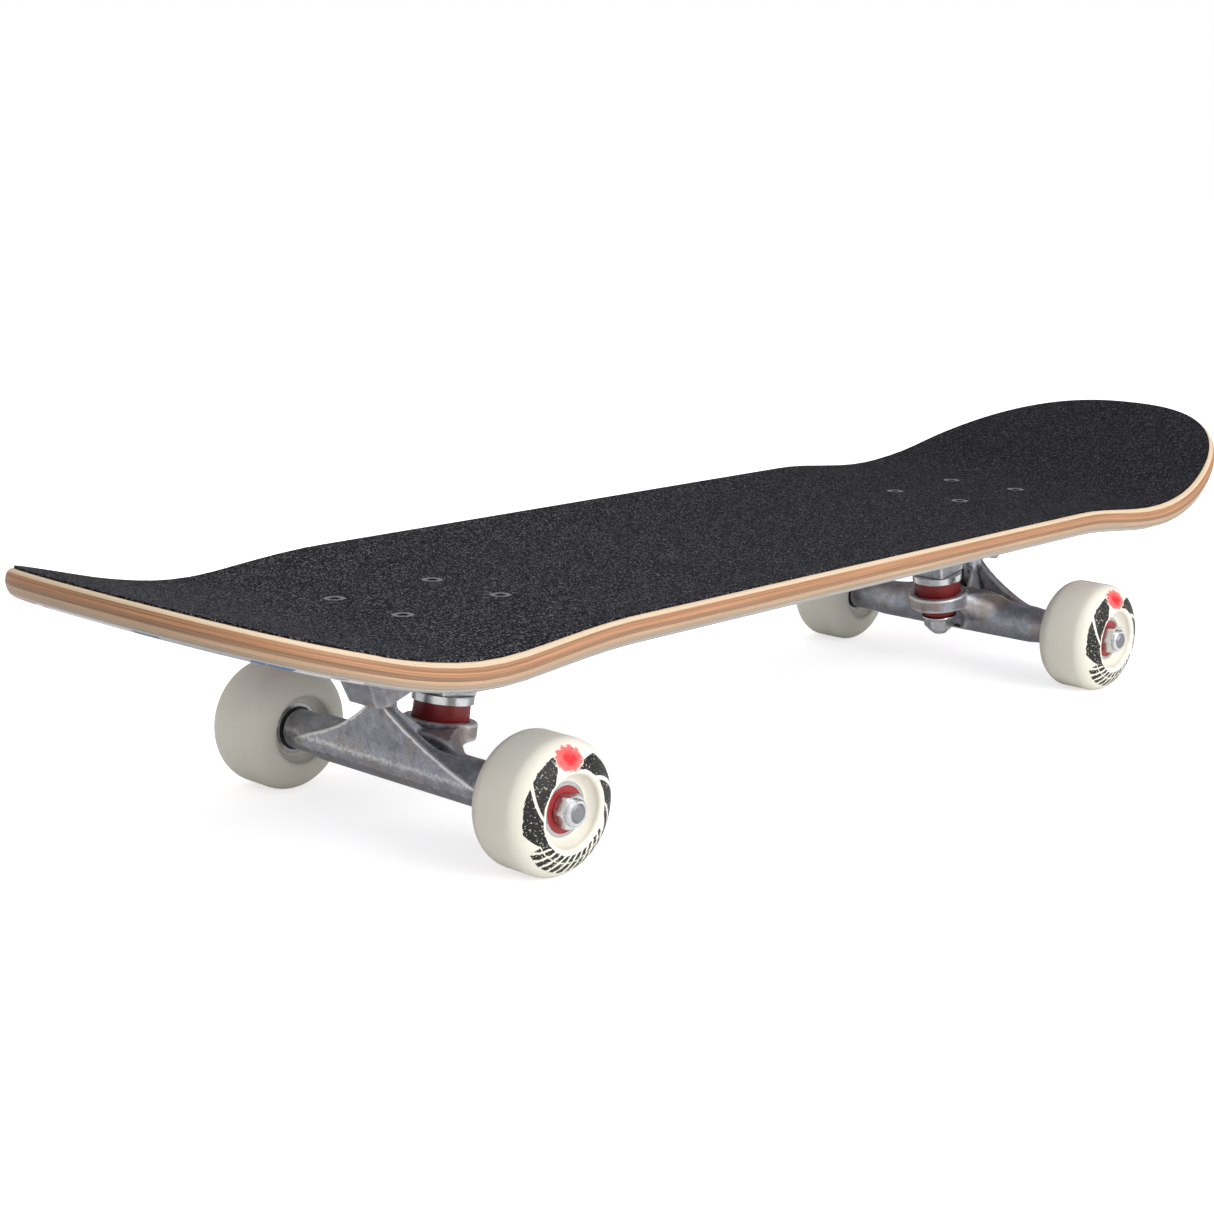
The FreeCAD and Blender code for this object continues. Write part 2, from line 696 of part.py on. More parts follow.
def cup_washer(name, rim, bore, start, toward, place):
    """A pressed washer whose lip stands round the bushing, on the side given by toward."""
    sheet_far = start + size.cup_washer_sheet * toward
    lip_far = sheet_far + size.cup_washer_lip * toward
    inside = rim / 2 - size.cup_washer_wall
    outline = [
        (bore / 2, start), (rim / 2, start), (rim / 2, lip_far), (inside, lip_far),
        (inside, sheet_far), (bore / 2, sheet_far),
    ]
    return turned(name, outline, place)


def make_truck(end):
    here = truck_place(end)
    pin_line = here.multiply(kingpin_place())
    cup_line = here.multiply(cup_place())

    keep(shaped(f"{end}_baseplate", baseplate_shape(), here), f"{end}_baseplate")

    roof = size.pivot_ball_diameter / 2 + size.pivot_clearance + size.cup_roof
    mouth = shifted(cup_line, -size.cup_mouth_depth)
    block = primitive("Part::Cylinder", f"{end}_cup_block", mouth,
                      Radius=size.cup_diameter / 2, Height=size.cup_mouth_depth + roof)
    seat = size.pivot_ball_diameter / 2 + size.pivot_clearance
    hollow = primitive("Part::Sphere", f"{end}_cup_hollow", cup_line, Radius=seat)
    flare = primitive("Part::Cone", f"{end}_cup_flare", mouth, Height=size.cup_mouth_depth,
                      Radius1=size.cup_mouth_diameter / 2, Radius2=seat)
    keep(cut(f"{end}_pivot_cup", block, fuse(f"{end}_cup_inside", hollow, flare)), f"{end}_pivot_cup")

    head_place = shifted(pin_line, size.kingpin_head_sink)
    head = hexagon(f"{end}_kingpin_head", size.kingpin_head_width, size.kingpin_head_height, head_place)
    pin_radius = size.kingpin_diameter / 2
    shank = turned(f"{end}_kingpin_shank",
                   [(0, size.kingpin_head_sink), (pin_radius, size.kingpin_head_sink),
                    (pin_radius, KINGPIN_TIP - size.kingpin_bevel),
                    (pin_radius - size.kingpin_bevel, KINGPIN_TIP), (0, KINGPIN_TIP)], pin_line)
    keep(fuse(f"{end}_kingpin", head, shank), f"{end}_kingpin")

    nut_place = shifted(pin_line, NUT_TOP)
    keep(lock_nut(f"{end}_kingpin_nut", size.kingpin_nut_width, size.kingpin_nut_height,
                  size.kingpin_diameter, nut_place), f"{end}_kingpin_nut")

    bore = size.bushing_bore
    keep(cup_washer(f"{end}_large_cup_washer", size.large_washer_diameter, bore, BOSS_END, 1, pin_line),
         f"{end}_large_cup_washer")
    keep(cup_washer(f"{end}_small_cup_washer", size.small_washer_diameter, bore, NUT_TOP, -1, pin_line),
         f"{end}_small_cup_washer")
    keep(ring(f"{end}_boardside_bushing", bore, size.bushing_diameter,
              BOARDSIDE_TOP, SHELF_TOP, pin_line), f"{end}_boardside_bushing")
    wide = size.roadside_bushing_diameter / 2
    foot = size.roadside_bushing_foot / 2
    waist = SHELF_FLOOR + size.ring_wall
    roadside = turned(f"{end}_roadside_bushing",
                      [(bore / 2, SHELF_FLOOR), (wide, SHELF_FLOOR), (wide, waist),
                       (foot, ROADSIDE_END - size.cup_washer_lip), (foot, ROADSIDE_END),
                       (bore / 2, ROADSIDE_END)], pin_line)
    keep(roadside, f"{end}_roadside_bushing")

    keep(shaped(f"{end}_hanger", hanger_shape(), here), f"{end}_hanger")


# ---------------------------------------------------------------- axle, bearings and wheels


def make_axle(end):
    across = FreeCAD.Placement(V(TRUCKS[end][0], -size.axle_length / 2, WHEEL_RADIUS),
                               FreeCAD.Rotation(V(1, 0, 0), -90))
    radius = size.axle_diameter / 2
    tip = size.axle_tip
    length = size.axle_length
    outline = [(0, 0), (radius - tip, 0), (radius, tip), (radius, length - tip), (radius - tip, length),
               (0, length)]
    keep(turned(f"{end}_axle", outline, across), f"{end}_axle")

    nuts, washers, inner_rings, spacers = [], [], [], []
    loose_bore = size.axle_diameter + size.running_clearance * 2
    for side in SIDES:
        out = axle_place(end, side)
        tag = f"{end}_{side}"
        nut_start = STACK_END + size.washer_thickness
        nut_place = shifted(out, nut_start)
        nuts.append(lock_nut(f"{tag}_axle_nut", size.axle_nut_width, size.axle_nut_height,
                             size.axle_diameter, nut_place))
        for where, start in (("inner", SHOULDER), ("outer", STACK_END)):
            washers.append(ring(f"{tag}_{where}_washer", loose_bore, size.washer_diameter, start,
                                start + size.washer_thickness, out))
        for where, start in (("inner", INNER_BEARING), ("outer", OUTER_BEARING)):
            blank = ring(f"{tag}_{where}_inner_ring_blank", size.bearing_bore, size.inner_ring_diameter,
                         start, start + size.bearing_width, out)
            groove = ball_groove(f"{tag}_{where}_inner_groove", start, out)
            inner_rings.append(cut(f"{tag}_{where}_inner_ring", blank, groove))
        spacers.append(ring(f"{tag}_spacer", loose_bore, size.spacer_diameter,
                            INNER_BEARING + size.bearing_width, OUTER_BEARING, out))
    keep(group(f"{end}_axle_nuts", nuts), f"{end}_axle_nuts")
    keep(group(f"{end}_speed_washers", washers), f"{end}_speed_washers")
    keep(group(f"{end}_bearing_inner_rings", inner_rings), f"{end}_bearing_inner_rings")
    keep(group(f"{end}_bearing_spacers", spacers), f"{end}_bearing_spacers")


def ball_groove(name, start, place):
    """The cutter for a bearing ring's groove, its seam turned away from the ring's own."""
    aside = FreeCAD.Placement(V(), FreeCAD.Rotation(V(0, 0, 1), 45))
    middle = shifted(place, start + size.bearing_width / 2).multiply(aside)
    return primitive("Part::Torus", name, middle, Radius1=size.ball_pitch_diameter / 2,
                     Radius2=size.ball_diameter / 2 + size.groove_clearance)


def ball_lines(start, place):
    """The seven ball places of one bearing: origin on its axis, +Z out through the ball."""
    middle = shifted(place, start + size.bearing_width / 2)
    lines = []
    for i in range(BALL_COUNT):
        turn = FreeCAD.Placement(V(), FreeCAD.Rotation(V(0, 0, 1), 360 * i / BALL_COUNT))
        outward = FreeCAD.Placement(V(), FreeCAD.Rotation(V(0, 1, 0), 90))
        lines.append(middle.multiply(turn).multiply(outward))
    return lines


def make_wheel(end, side):
    out = axle_place(end, side)
    tag = f"{end}_{side}"
    inner_face = WHEEL_MIDDLE - size.wheel_width / 2
    outer_face = WHEEL_MIDDLE + size.wheel_width / 2
    tread = WHEEL_RADIUS
    lip = size.lip_diameter / 2
    bowl = size.bowl_diameter / 2
    seat = size.bearing_diameter / 2
    hub = size.hub_bore / 2
    outline = [
        (seat, INNER_BEARING), (bowl, INNER_BEARING), (lip, inner_face), (tread, inner_face),
        (tread, outer_face), (lip, outer_face), (bowl, STACK_END), (seat, STACK_END),
        (seat, OUTER_BEARING), (hub, OUTER_BEARING), (hub, INNER_BEARING + size.bearing_width),
        (seat, INNER_BEARING + size.bearing_width),
    ]
    wheel = turned(f"{tag}_wheel", outline, out)
    doc.recompute()
    blank = wheel.Tip
    rounds = wheel.newObject("PartDesign::Fillet", f"{tag}_wheel_rounds")
    rounds.Base = (blank, tread_edges(blank.Shape))
    rounds.setExpression("Radius", size.tread_round_radius.text)
    wheel.Tip = rounds
    keep(wheel, f"{tag}_wheel")

    outer_rings, seals, balls, cages = [], [], [], []
    recess = size.seal_sink + size.seal_thickness
    seal_seat = size.seal_diameter / 2
    land = size.outer_ring_bore / 2
    for where, start in (("inner", INNER_BEARING), ("outer", OUTER_BEARING)):
        stop = start + size.bearing_width
        outline = [
            (seal_seat, start), (seat, start), (seat, stop), (seal_seat, stop), (seal_seat, stop - recess),
            (land, stop - recess), (land, start + recess), (seal_seat, start + recess),
        ]
        blank = turned(f"{tag}_{where}_outer_ring_blank", outline, out)
        groove = ball_groove(f"{tag}_{where}_outer_groove", start, out)
        outer_rings.append(cut(f"{tag}_{where}_outer_ring", blank, groove))
        for face, seal_start in (("near", start + size.seal_sink), ("far", stop - recess)):
            seals.append(ring(f"{tag}_{where}_{face}_seal", size.seal_bore, size.seal_diameter, seal_start,
                              seal_start + size.seal_thickness, out))
        middle = start + size.bearing_width / 2
        cage = ring(f"{tag}_{where}_cage_blank", size.cage_bore, size.cage_diameter,
                    middle - size.cage_width / 2, middle + size.cage_width / 2, out)
        pockets = []
        for i, line in enumerate(ball_lines(start, out), start=1):
            balls.append(primitive("Part::Sphere", f"{tag}_{where}_ball_{i}",
                                   shifted(line, size.ball_pitch_diameter / 2),
                                   Radius=size.ball_diameter / 2))
            pockets.append(primitive("Part::Cylinder", f"{tag}_{where}_pocket_{i}", line,
                                     Radius=size.ball_diameter / 2 + size.cage_clearance,
                                     Height=size.bearing_diameter / 2))
        cages.append(cut(f"{tag}_{where}_cage", cage, group(f"{tag}_{where}_pockets", pockets)))
    keep(group(f"{tag}_bearing_outer_rings", outer_rings), f"{tag}_bearing_outer_rings")
    keep(group(f"{tag}_bearing_seals", seals), f"{tag}_bearing_seals")
    keep(group(f"{tag}_bearing_balls", balls), f"{tag}_bearing_balls")
    keep(group(f"{tag}_ball_cages", cages), f"{tag}_ball_cages")


def tread_edges(shape):
    """The two corners between the tread and the wheel's sides."""
    names = []
    for i, edge in enumerate(shape.Edges, start=1):
        if isinstance(edge.Curve, Part.Circle) and abs(edge.Curve.Radius - WHEEL_RADIUS) < 0.01:
            names.append(f"Edge{i}")
    return names


# ---------------------------------------------------------------- build and write

make_deck()
make_mounting_hardware()
for end in TRUCKS:
    make_truck(end)
    make_axle(end)
    for side in SIDES:
        make_wheel(end, side)
doc.recompute()

for thing in doc.Objects:
    if "Invalid" in thing.State or "Error" in thing.State:
        raise RuntimeError(f"{thing.Name} did not build: {thing.State}")
for node in nodes:
    if node.Shape.isNull() or not node.Shape.isValid() or not node.Shape.Solids:
        raise RuntimeError(f"{node.Label} has no sound solid")

os.makedirs("parts", exist_ok=True)
for node in nodes:
    node.Shape.exportStep(f"parts/{node.Label}.step")
    print(f"{node.Label}: {len(node.Shape.Solids)} solids, {node.Shape.Volume:.1f} mm3")
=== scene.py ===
import math

import bpy
import numpy as np
from mathutils import Matrix, Vector


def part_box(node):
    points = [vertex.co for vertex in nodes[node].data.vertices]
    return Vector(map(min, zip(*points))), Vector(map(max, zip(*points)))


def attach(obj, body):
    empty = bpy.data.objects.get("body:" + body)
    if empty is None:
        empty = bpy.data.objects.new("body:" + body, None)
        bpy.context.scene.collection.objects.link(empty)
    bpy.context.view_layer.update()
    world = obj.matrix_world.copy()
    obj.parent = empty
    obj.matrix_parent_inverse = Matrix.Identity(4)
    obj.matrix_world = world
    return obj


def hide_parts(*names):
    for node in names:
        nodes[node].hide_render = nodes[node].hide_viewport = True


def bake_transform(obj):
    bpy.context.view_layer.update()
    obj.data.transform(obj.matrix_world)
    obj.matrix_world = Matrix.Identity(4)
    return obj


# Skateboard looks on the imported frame. Shapes are worked out in millimetres and stored in metres.

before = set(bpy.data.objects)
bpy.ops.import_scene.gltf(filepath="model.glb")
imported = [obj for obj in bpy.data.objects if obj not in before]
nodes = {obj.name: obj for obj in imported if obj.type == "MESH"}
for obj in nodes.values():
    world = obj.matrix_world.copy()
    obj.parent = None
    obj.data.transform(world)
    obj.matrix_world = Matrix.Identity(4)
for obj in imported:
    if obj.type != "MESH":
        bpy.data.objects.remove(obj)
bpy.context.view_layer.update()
MM = 0.001


def middle_of(node):
    low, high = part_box(node)
    return (np.array(low) + np.array(high)) / 2 / MM


FRONT = middle_of("front_axle")
REAR = middle_of("rear_axle")
TRUCK_MIDDLE = (FRONT[0] + REAR[0]) / 2
AXLE_HEIGHT = REAR[2]
DECK_LENGTH, DECK_WIDTH = [(high - low) / MM for low, high in list(zip(*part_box("deck_veneer_4")))[:2]]
# Between the innermost bolts of the two trucks, and the pitch of one truck's bolts along and across.
INNER_BOLTS = 337.8
BOLT_PITCH = (53.975, 41.275)
LAST_HOLE = INNER_BOLTS / 2 + BOLT_PITCH[0]
PLATE_MIDDLE = LAST_HOLE - BOLT_PITCH[0] / 2


# ---------------------------------------------------------------- meshes

def make_object(name, points, faces, material, smooth=True, sharp=()):
    """A mesh object from points in millimetres. sharp lists the edges to keep crisp, as point pairs."""
    mesh = bpy.data.meshes.new(name)
    mesh.from_pydata((np.asarray(points, float) * MM).tolist(), [], faces)
    mesh.validate()
    if smooth:
        mesh.shade_smooth()
    if sharp:
        crisp = {(min(a, b), max(a, b)) for a, b in sharp}
        flags = [tuple(sorted(edge.vertices)) in crisp for edge in mesh.edges]
        mesh.attributes.new("sharp_edge", "BOOLEAN", "EDGE").data.foreach_set("value", flags)
    mesh.materials.append(material)
    thing = bpy.data.objects.new(name, mesh)
    bpy.context.scene.collection.objects.link(thing)
    return thing


def ring_faces(rings, count):
    """Quads between neighbouring closed rings of count points each."""
    faces = []
    for r in range(rings - 1):
        for i in range(count):
            j = (i + 1) % count
            faces.append((r * count + i, r * count + j, (r + 1) * count + j, (r + 1) * count + i))
    return faces


def turned_points(profile, count):
    """Points of a lathe shape about +Z, from (radius, height) pairs."""
    turn = np.linspace(0, 2 * math.pi, count, endpoint=False)
    profile = np.asarray(profile, float)
    x = profile[:, :1] * np.cos(turn)
    y = profile[:, :1] * np.sin(turn)
    z = np.repeat(profile[:, 1:], count, axis=1)
    return np.stack([x, y, z], axis=-1).reshape(-1, 3)


def arc(centre, radius, start, end, steps):
    """(radius, height) points on a circular arc, angles in degrees."""
    angles = np.radians(np.linspace(start, end, steps))
    return [(centre[0] + radius * math.cos(a), centre[1] + radius * math.sin(a)) for a in angles]


# ---------------------------------------------------------------- materials

class Look:
    """A node material being put together. Colours are linear, and lengths are in millimetres."""

    def __init__(self, name, **sockets):
        self.material = bpy.data.materials.new(name)
        self.material.use_nodes = True
        self.tree = self.material.node_tree
        self.shader = self.tree.nodes["Principled BSDF"]
        self.finish(**sockets)

    def feed(self, socket, value):
        if isinstance(value, bpy.types.NodeSocket):
            self.tree.links.new(value, socket)
        else:
            socket.default_value = value

    def finish(self, **sockets):
        """Feeds the shader's sockets, with an underscore for each space in a name."""
        for key, value in sockets.items():
            self.feed(self.shader.inputs[key.replace("_", " ")], value)
        return self.material

    def node(self, kind, inputs=(), out=0, **settings):
        made = self.tree.nodes.new(kind)
        for key, value in settings.items():
            setattr(made, key, value)
        for key, value in dict(inputs).items():
            self.feed(made.inputs[key], value)
        return made.outputs[out]

    def place(self, scale=(1, 1, 1)):
        """Object coordinates times a scale."""
        coords = self.node("ShaderNodeTexCoord", out="Object")
        return self.node("ShaderNodeMapping", {"Vector": coords, "Scale": [s / MM for s in scale]})

    def axes(self, names, of=None):
        """The named axes of a vector, or else of the place on the object."""
        of = of or self.place()
        return [self.node("ShaderNodeSeparateXYZ", {0: of}, out=axis) for axis in names]

    def attribute(self, name, out):
        """What the mesh itself carries at each point."""
        return self.node("ShaderNodeAttribute", out=out, attribute_name=name)

    def noise(self, size, detail=2.0, roughness=0.5, where=None, stretch=(1, 1, 1)):
        """Noise with blotches about size wide."""
        where = where or self.place([s / size for s in stretch])
        return self.node("ShaderNodeTexNoise", {"Vector": where, "Scale": 1.0, "Detail": detail,
                                                "Roughness": roughness}, out="Fac")

    def cells(self, size, out):
        """Cells about size wide."""
        where = self.place([1 / size] * 3)
        return self.node("ShaderNodeTexVoronoi", {"Vector": where, "Scale": 1.0}, out=out)

    def ramp(self, value, *stops, interpolation="LINEAR"):
        """A colour ramp; each stop is (position, grey or colour)."""
        made = self.tree.nodes.new("ShaderNodeValToRGB")
        made.color_ramp.interpolation = interpolation
        elements = made.color_ramp.elements
        for i, (position, colour) in enumerate(stops):
            element = elements[i] if i < 2 else elements.new(position)
            element.position = position
            element.color = (*colour, 1) if isinstance(colour, tuple) else (colour, colour, colour, 1)
        self.feed(made.inputs[0], value)
        return made.outputs[0]

    def math(self, operation, a, b=0.0):
        return self.node("ShaderNodeMath", {0: a, 1: b}, operation=operation)

    def plus(self, a, b):
        return self.math("ADD", a, b)

    def minus(self, a, b):
        return self.math("SUBTRACT", a, b)

    def times(self, a, b):
        return self.math("MULTIPLY", a, b)

    def over(self, a, b):
        return self.math("DIVIDE", a, b)

    def below(self, a, b):
        return self.math("LESS_THAN", a, b)

    def above(self, a, b):
        return self.math("GREATER_THAN", a, b)

    def apart(self, a, b):
        """How far apart two values are."""
        return self.math("ABSOLUTE", self.minus(a, b))

    def square_sum(self, a, b):
        return self.plus(self.times(a, a), self.times(b, b))

    def length(self, a, b):
        return self.math("POWER", self.square_sum(a, b), 0.5)

    def mix(self, amount, a, b):
        made = self.tree.nodes.new("ShaderNodeMix")
        made.data_type = "RGBA"
        self.feed(made.inputs["Factor"], amount)
        for socket, value in ((made.inputs[6], a), (made.inputs[7], b)):
            self.feed(socket, (*value, 1) if isinstance(value, tuple) else value)
        return made.outputs[2]

    def bump(self, height, depth, strength=1.0, under=None):
        """Surface relief of a given depth."""
        inputs = {"Height": height, "Distance": depth * MM, "Strength": strength}
        if under:
            inputs["Normal"] = under
        return self.node("ShaderNodeBump", inputs)


# ---------------------------------------------------------------- deck

VENEERS = 7
VENEER = 1.6
DECK_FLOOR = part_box("front_baseplate")[1][2] / MM + 0.05
EDGE_DEPTH = 3.2
# The least gap between the rounded edge and the first ring of points on a face.
EDGE_GAP = 0.6
CONCAVE, CONCAVE_FLAT = 4.7, 64.0
# For each end: taper, fullness, kick angle, kick radius, kick margin, fade margin, fade length, concave left.
NOSE = (151.0, 2.37, 16.1, 194.0, 16.8, 58.7, 74.3, -0.2)
TAIL = (80.0, 2.8, 16.0, 250.0, 2.0, 53.5, 91.5, -0.3)
# How far in from the outline each ring of points on a face lies.
INNER_INSETS = [4.5, 7, 10, 14, 18, 23, 28, 34, 40, 46, 53, 60, 67, 75]
END_STEPS, SIDE_STEPS = 56, 44


def smooth_step(share):
    share = np.clip(share, 0, 1)
    return share * share * (3 - 2 * share)


def kick_rise(run, radius, angle):
    """Height of a kick that bends up on an arc and goes on straight."""
    arc_run = radius * math.sin(angle)
    run = np.maximum(run, 0)
    on_arc = radius - np.sqrt(radius ** 2 - np.minimum(run, arc_run) ** 2)
    return on_arc + np.maximum(run - arc_run, 0) * math.tan(angle)


def deck_rise(x, y):
    """Height of the pressed sheet over its flat middle."""
    rise = 0
    left = 1
    for way, (_, _, angle, radius, margin, fade_margin, fade_length, end_left) in ((1, NOSE), (-1, TAIL)):
        run = way * (x - TRUCK_MIDDLE) - LAST_HOLE
        rise = rise + kick_rise(run - margin, radius, math.radians(angle))
        left = left - smooth_step((run + fade_margin) / fade_length) * (1 - end_left)
    flat = CONCAVE_FLAT / 2
    run = np.maximum(np.abs(y) - flat, 0) / (DECK_WIDTH / 2 - flat)
    return rise + CONCAVE * run * run * left


def deck_outline(inset):
    """Points round the deck, drawn in by an inset, anticlockwise from the nose's right."""
    half_width = DECK_WIDTH / 2 - inset
    tip = DECK_LENGTH / 2 - inset
    ends = []
    for way, (taper, fullness, *_) in ((1, NOSE), (-1, TAIL)):
        angle = np.pi * (np.linspace(0, 1, END_STEPS + 1) - 0.5)
        reach = np.maximum(np.cos(angle), 0) ** (2 / fullness)
        side = np.sign(angle) * np.abs(np.sin(angle)) ** (2 / fullness)
        x = way * (tip - (taper - inset) * (1 - reach))
        ends.append(np.stack([x, way * half_width * side], axis=-1))
    share = np.linspace(0, 1, SIDE_STEPS + 1)[1:-1, None]
    left = ends[0][-1] * (1 - share) + ends[1][0] * share
    right = ends[1][-1] * (1 - share) + ends[0][0] * share
    return np.concatenate([ends[0], left, ends[1], right])


def deck_ring(inset, height):
    """One closed ring of points on the pressed sheet."""
    flat = deck_outline(inset)
    return np.column_stack([flat, DECK_FLOOR + deck_rise(flat[:, 0], flat[:, 1]) + height])


def edge_sweep(low, high):
    """(inset, height) points down the rounded edge between two heights."""
    half = VENEER * VENEERS / 2
    first, last = [math.asin(max(-1, min(1, h / half - 1))) for h in (low, high)]
    steps = max(2, round(abs(last - first) / math.radians(9)))
    angles = np.linspace(first, last, steps + 1)
    return [(EDGE_DEPTH * (1 - math.cos(a)), half * (1 + math.sin(a))) for a in angles]


def middle_faces(start, count, flip=False):
    """Quads that close the innermost ring along its long middle line."""
    faces = []
    half = END_STEPS // 2
    order = [(half + i) % count for i in range(count // 2 + 1)]
    other = [(half - i) % count for i in range(count // 2 + 1)]
    for i in range(len(order) - 1):
        quad = [start + order[i], start + order[i + 1], start + other[i + 1], start + other[i]]
        quad = list(dict.fromkeys(quad))
        if len(quad) > 2:
            faces.append(tuple(reversed(quad)) if flip else tuple(quad))
    return faces


def lay_sheet(thing, rings):
    """Stores (run along the outline, inset, height in the sheet) at each point, for the grain to follow."""
    around = deck_outline(0)
    steps = np.linalg.norm(np.diff(around, axis=0), axis=1)
    run = np.concatenate([[0], np.cumsum(steps)])
    run = np.minimum(run, run[-1] - run)
    where = [np.column_stack([run, np.full(len(run), inset), np.full(len(run), height)])
             for inset, height in rings]
    sheet = thing.data.attributes.new("sheet", "FLOAT_VECTOR", "POINT")
    sheet.data.foreach_set("vector", np.concatenate(where).astype(np.float32).ravel())


def make_veneer(number, material):
    """One veneer with its share of the rounded edge."""
    low, high = (number - 1) * VENEER, number * VENEER
    edge = edge_sweep(low, high)
    rings = [(inset, low) for inset in reversed(INNER_INSETS) if inset > edge[0][0] + EDGE_GAP]
    first_edge = len(rings)
    rings += edge
    last_edge = len(rings) - 1
    rings += [(inset, high) for inset in INNER_INSETS if inset > edge[-1][0] + EDGE_GAP]
    points = [deck_ring(*ring) for ring in rings]
    count = len(points[0])
    faces = ring_faces(len(rings), count)
    faces += middle_faces(0, count, flip=True) + middle_faces((len(rings) - 1) * count, count)
    sharp = [(r * count + i, r * count + (i + 1) % count)
             for r in (first_edge, last_edge) for i in range(count)]
    thing = make_object(f"veneer_{number}", np.concatenate(points), faces, material, sharp=sharp)
    lay_sheet(thing, rings)
    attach(thing, "deck")
    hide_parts(f"deck_veneer_{number}")
    return thing


# Tone of each veneer's edge, and how strongly its grain streaks.
VENEER_TONES = {
    7: ((0.60, 0.47, 0.33), 0.16),
    6: ((0.39, 0.20, 0.105), 0.54),
    5: ((0.48, 0.245, 0.13), 0.50),
    4: ((0.30, 0.175, 0.105), 0.40),
    3: ((0.50, 0.335, 0.215), 0.36),
    2: ((0.38, 0.30, 0.225), 0.30),
    1: ((0.46, 0.405, 0.345), 0.20),
}
# Points with a smaller inset are on the rounded edge.
FACE_INSET = 4.0


def wood_look(number):
    """Maple: on the edge the grain runs along the outline, on the faces along the deck."""
    tone, streak = VENEER_TONES[number]
    look = Look(f"maple_{number}", Roughness=0.55, Specular_IOR_Level=0.3)
    run, inset, height = look.axes("XYZ", look.attribute("sheet", "Vector"))

    def lines(along, shift, through, detail):
        """Noise drawn out along the outline."""
        where = look.node("ShaderNodeCombineXYZ", {0: look.times(run, along), 1: shift,
                                                   2: look.times(height, through)})
        return look.noise(1.0, detail=detail, roughness=0.7, where=where)

    streaks = lines(0.011, number * 3.7, 2.4, 5)
    close = lines(0.06, number * 1.9, 6.0, 4)
    pores = look.noise(0.5, detail=2, stretch=(0.08, 0.9, 0.9))
    drift = look.noise(90, detail=2)
    on_edge = look.below(inset, FACE_INSET)
    grain = look.mix(on_edge, pores, streaks)
    dark = tuple(c * (1 - streak) for c in tone)
    light = tuple(min(c * (1 + streak * 0.6), 1) for c in tone)
    colour = look.mix(look.ramp(grain, (0.34, 0.0), (0.66, 1.0)), dark, light)
    warm = (tone[0] * 0.98, tone[1] * 0.74, tone[2] * 0.62)
    colour = look.mix(look.ramp(close, (0.54, 0.0), (0.70, 0.55)), colour, warm)
    colour = look.mix(look.ramp(drift, (0.35, 0.0), (0.7, 0.4)), colour, tuple(c * 0.86 for c in tone))

    # The glue line under each veneer.
    seam = look.math("FRACT", look.over(height, VENEER))
    seam = look.times(on_edge, look.ramp(seam, (0.0, 0.38), (0.16, 0.0)))
    colour = look.mix(seam, colour, tuple(c * 0.45 for c in tone))
    return look.finish(Base_Color=colour, Normal=look.bump(grain, 0.10, 0.5))


FILM_BANDS = ((0.0, (0.34, 0.38, 0.45)), (0.22, (0.07, 0.14, 0.30)), (0.36, (0.52, 0.54, 0.58)),
              (0.54, (0.50, 0.06, 0.07)), (0.70, (0.28, 0.26, 0.35)), (0.84, (0.60, 0.60, 0.62)))
# Middle and radius of each plain ring, and half the width of its line.
FILM_RINGS = ((-120, 10, 88), (110, -20, 74), (0, 45, 46))
FILM_RING_HALF = 4.5
# How far up the rounded edge the film laps.
FILM_LAP = 0.9
# The plain border: its middle, half its length and how far in it reaches.
BORDER_MIDDLE, BORDER_HALF, BORDER_INSET = TRUCK_MIDDLE - 45, 262.0, 12.0
# The plain patch round each truck: its middle from the trucks' middle, and half its length and width.
PATCH_MIDDLE, PATCH_HALF_LENGTH, PATCH_HALF_WIDTH = LAST_HOLE - 27.0, 62.0, 52.0


def film_look():
    """The printed underside: wavering bands of colour and plain rings."""
    look = Look("printed_film", Roughness=0.3)
    x, y = look.axes("XY")
    drift = look.noise(70, detail=3, roughness=0.6)
    fine = look.noise(1.2, detail=3)
    along = look.plus(look.times(x, 0.0082), look.times(y, 0.0031))
    along = look.math("FRACT", look.plus(along, look.times(drift, 0.8)))
    colour = look.ramp(along, *FILM_BANDS, interpolation="CONSTANT")
    for middle_x, middle_y, radius in FILM_RINGS:
        away = look.length(look.minus(x, middle_x), look.minus(y, middle_y))
        colour = look.mix(look.below(look.apart(away, radius), FILM_RING_HALF), colour, (0.70, 0.70, 0.71))
    colour = look.mix(look.ramp(fine, (0.62, 0.0), (0.72, 0.6)), colour, (0.66, 0.65, 0.63))

    # The border is plain from the kick of the tail to the front truck.
    inset = look.axes("Y", look.attribute("sheet", "Vector"))[0]
    between = look.below(look.apart(x, BORDER_MIDDLE), BORDER_HALF)
    border = look.times(between, look.below(inset, BORDER_INSET))
    colour = look.mix(border, colour, (0.33, 0.335, 0.355))

    # So is a patch round each truck.
    along = look.below(look.apart(look.apart(x, TRUCK_MIDDLE), PATCH_MIDDLE), PATCH_HALF_LENGTH)
    patch = look.times(along, look.below(look.math("ABSOLUTE", y), PATCH_HALF_WIDTH))
    colour = look.mix(patch, colour, (0.36, 0.365, 0.39))
    return look.finish(Base_Color=colour)


def cover_with_film(veneer):
    """The film covers the underside and laps onto the start of the rounded edge."""
    veneer.data.materials.append(film_look())
    sheet = np.zeros((len(veneer.data.vertices), 3), np.float32)
    veneer.data.attributes["sheet"].data.foreach_get("vector", sheet.ravel())
    flags = [int(sheet[list(face.vertices), 2].mean() < FILM_LAP) for face in veneer.data.polygons]
    veneer.data.polygons.foreach_set("material_index", flags)


for number in range(1, VENEERS + 1):
    veneer = make_veneer(number, wood_look(number))
    if number == 1:
        cover_with_film(veneer)


# ---------------------------------------------------------------- castings

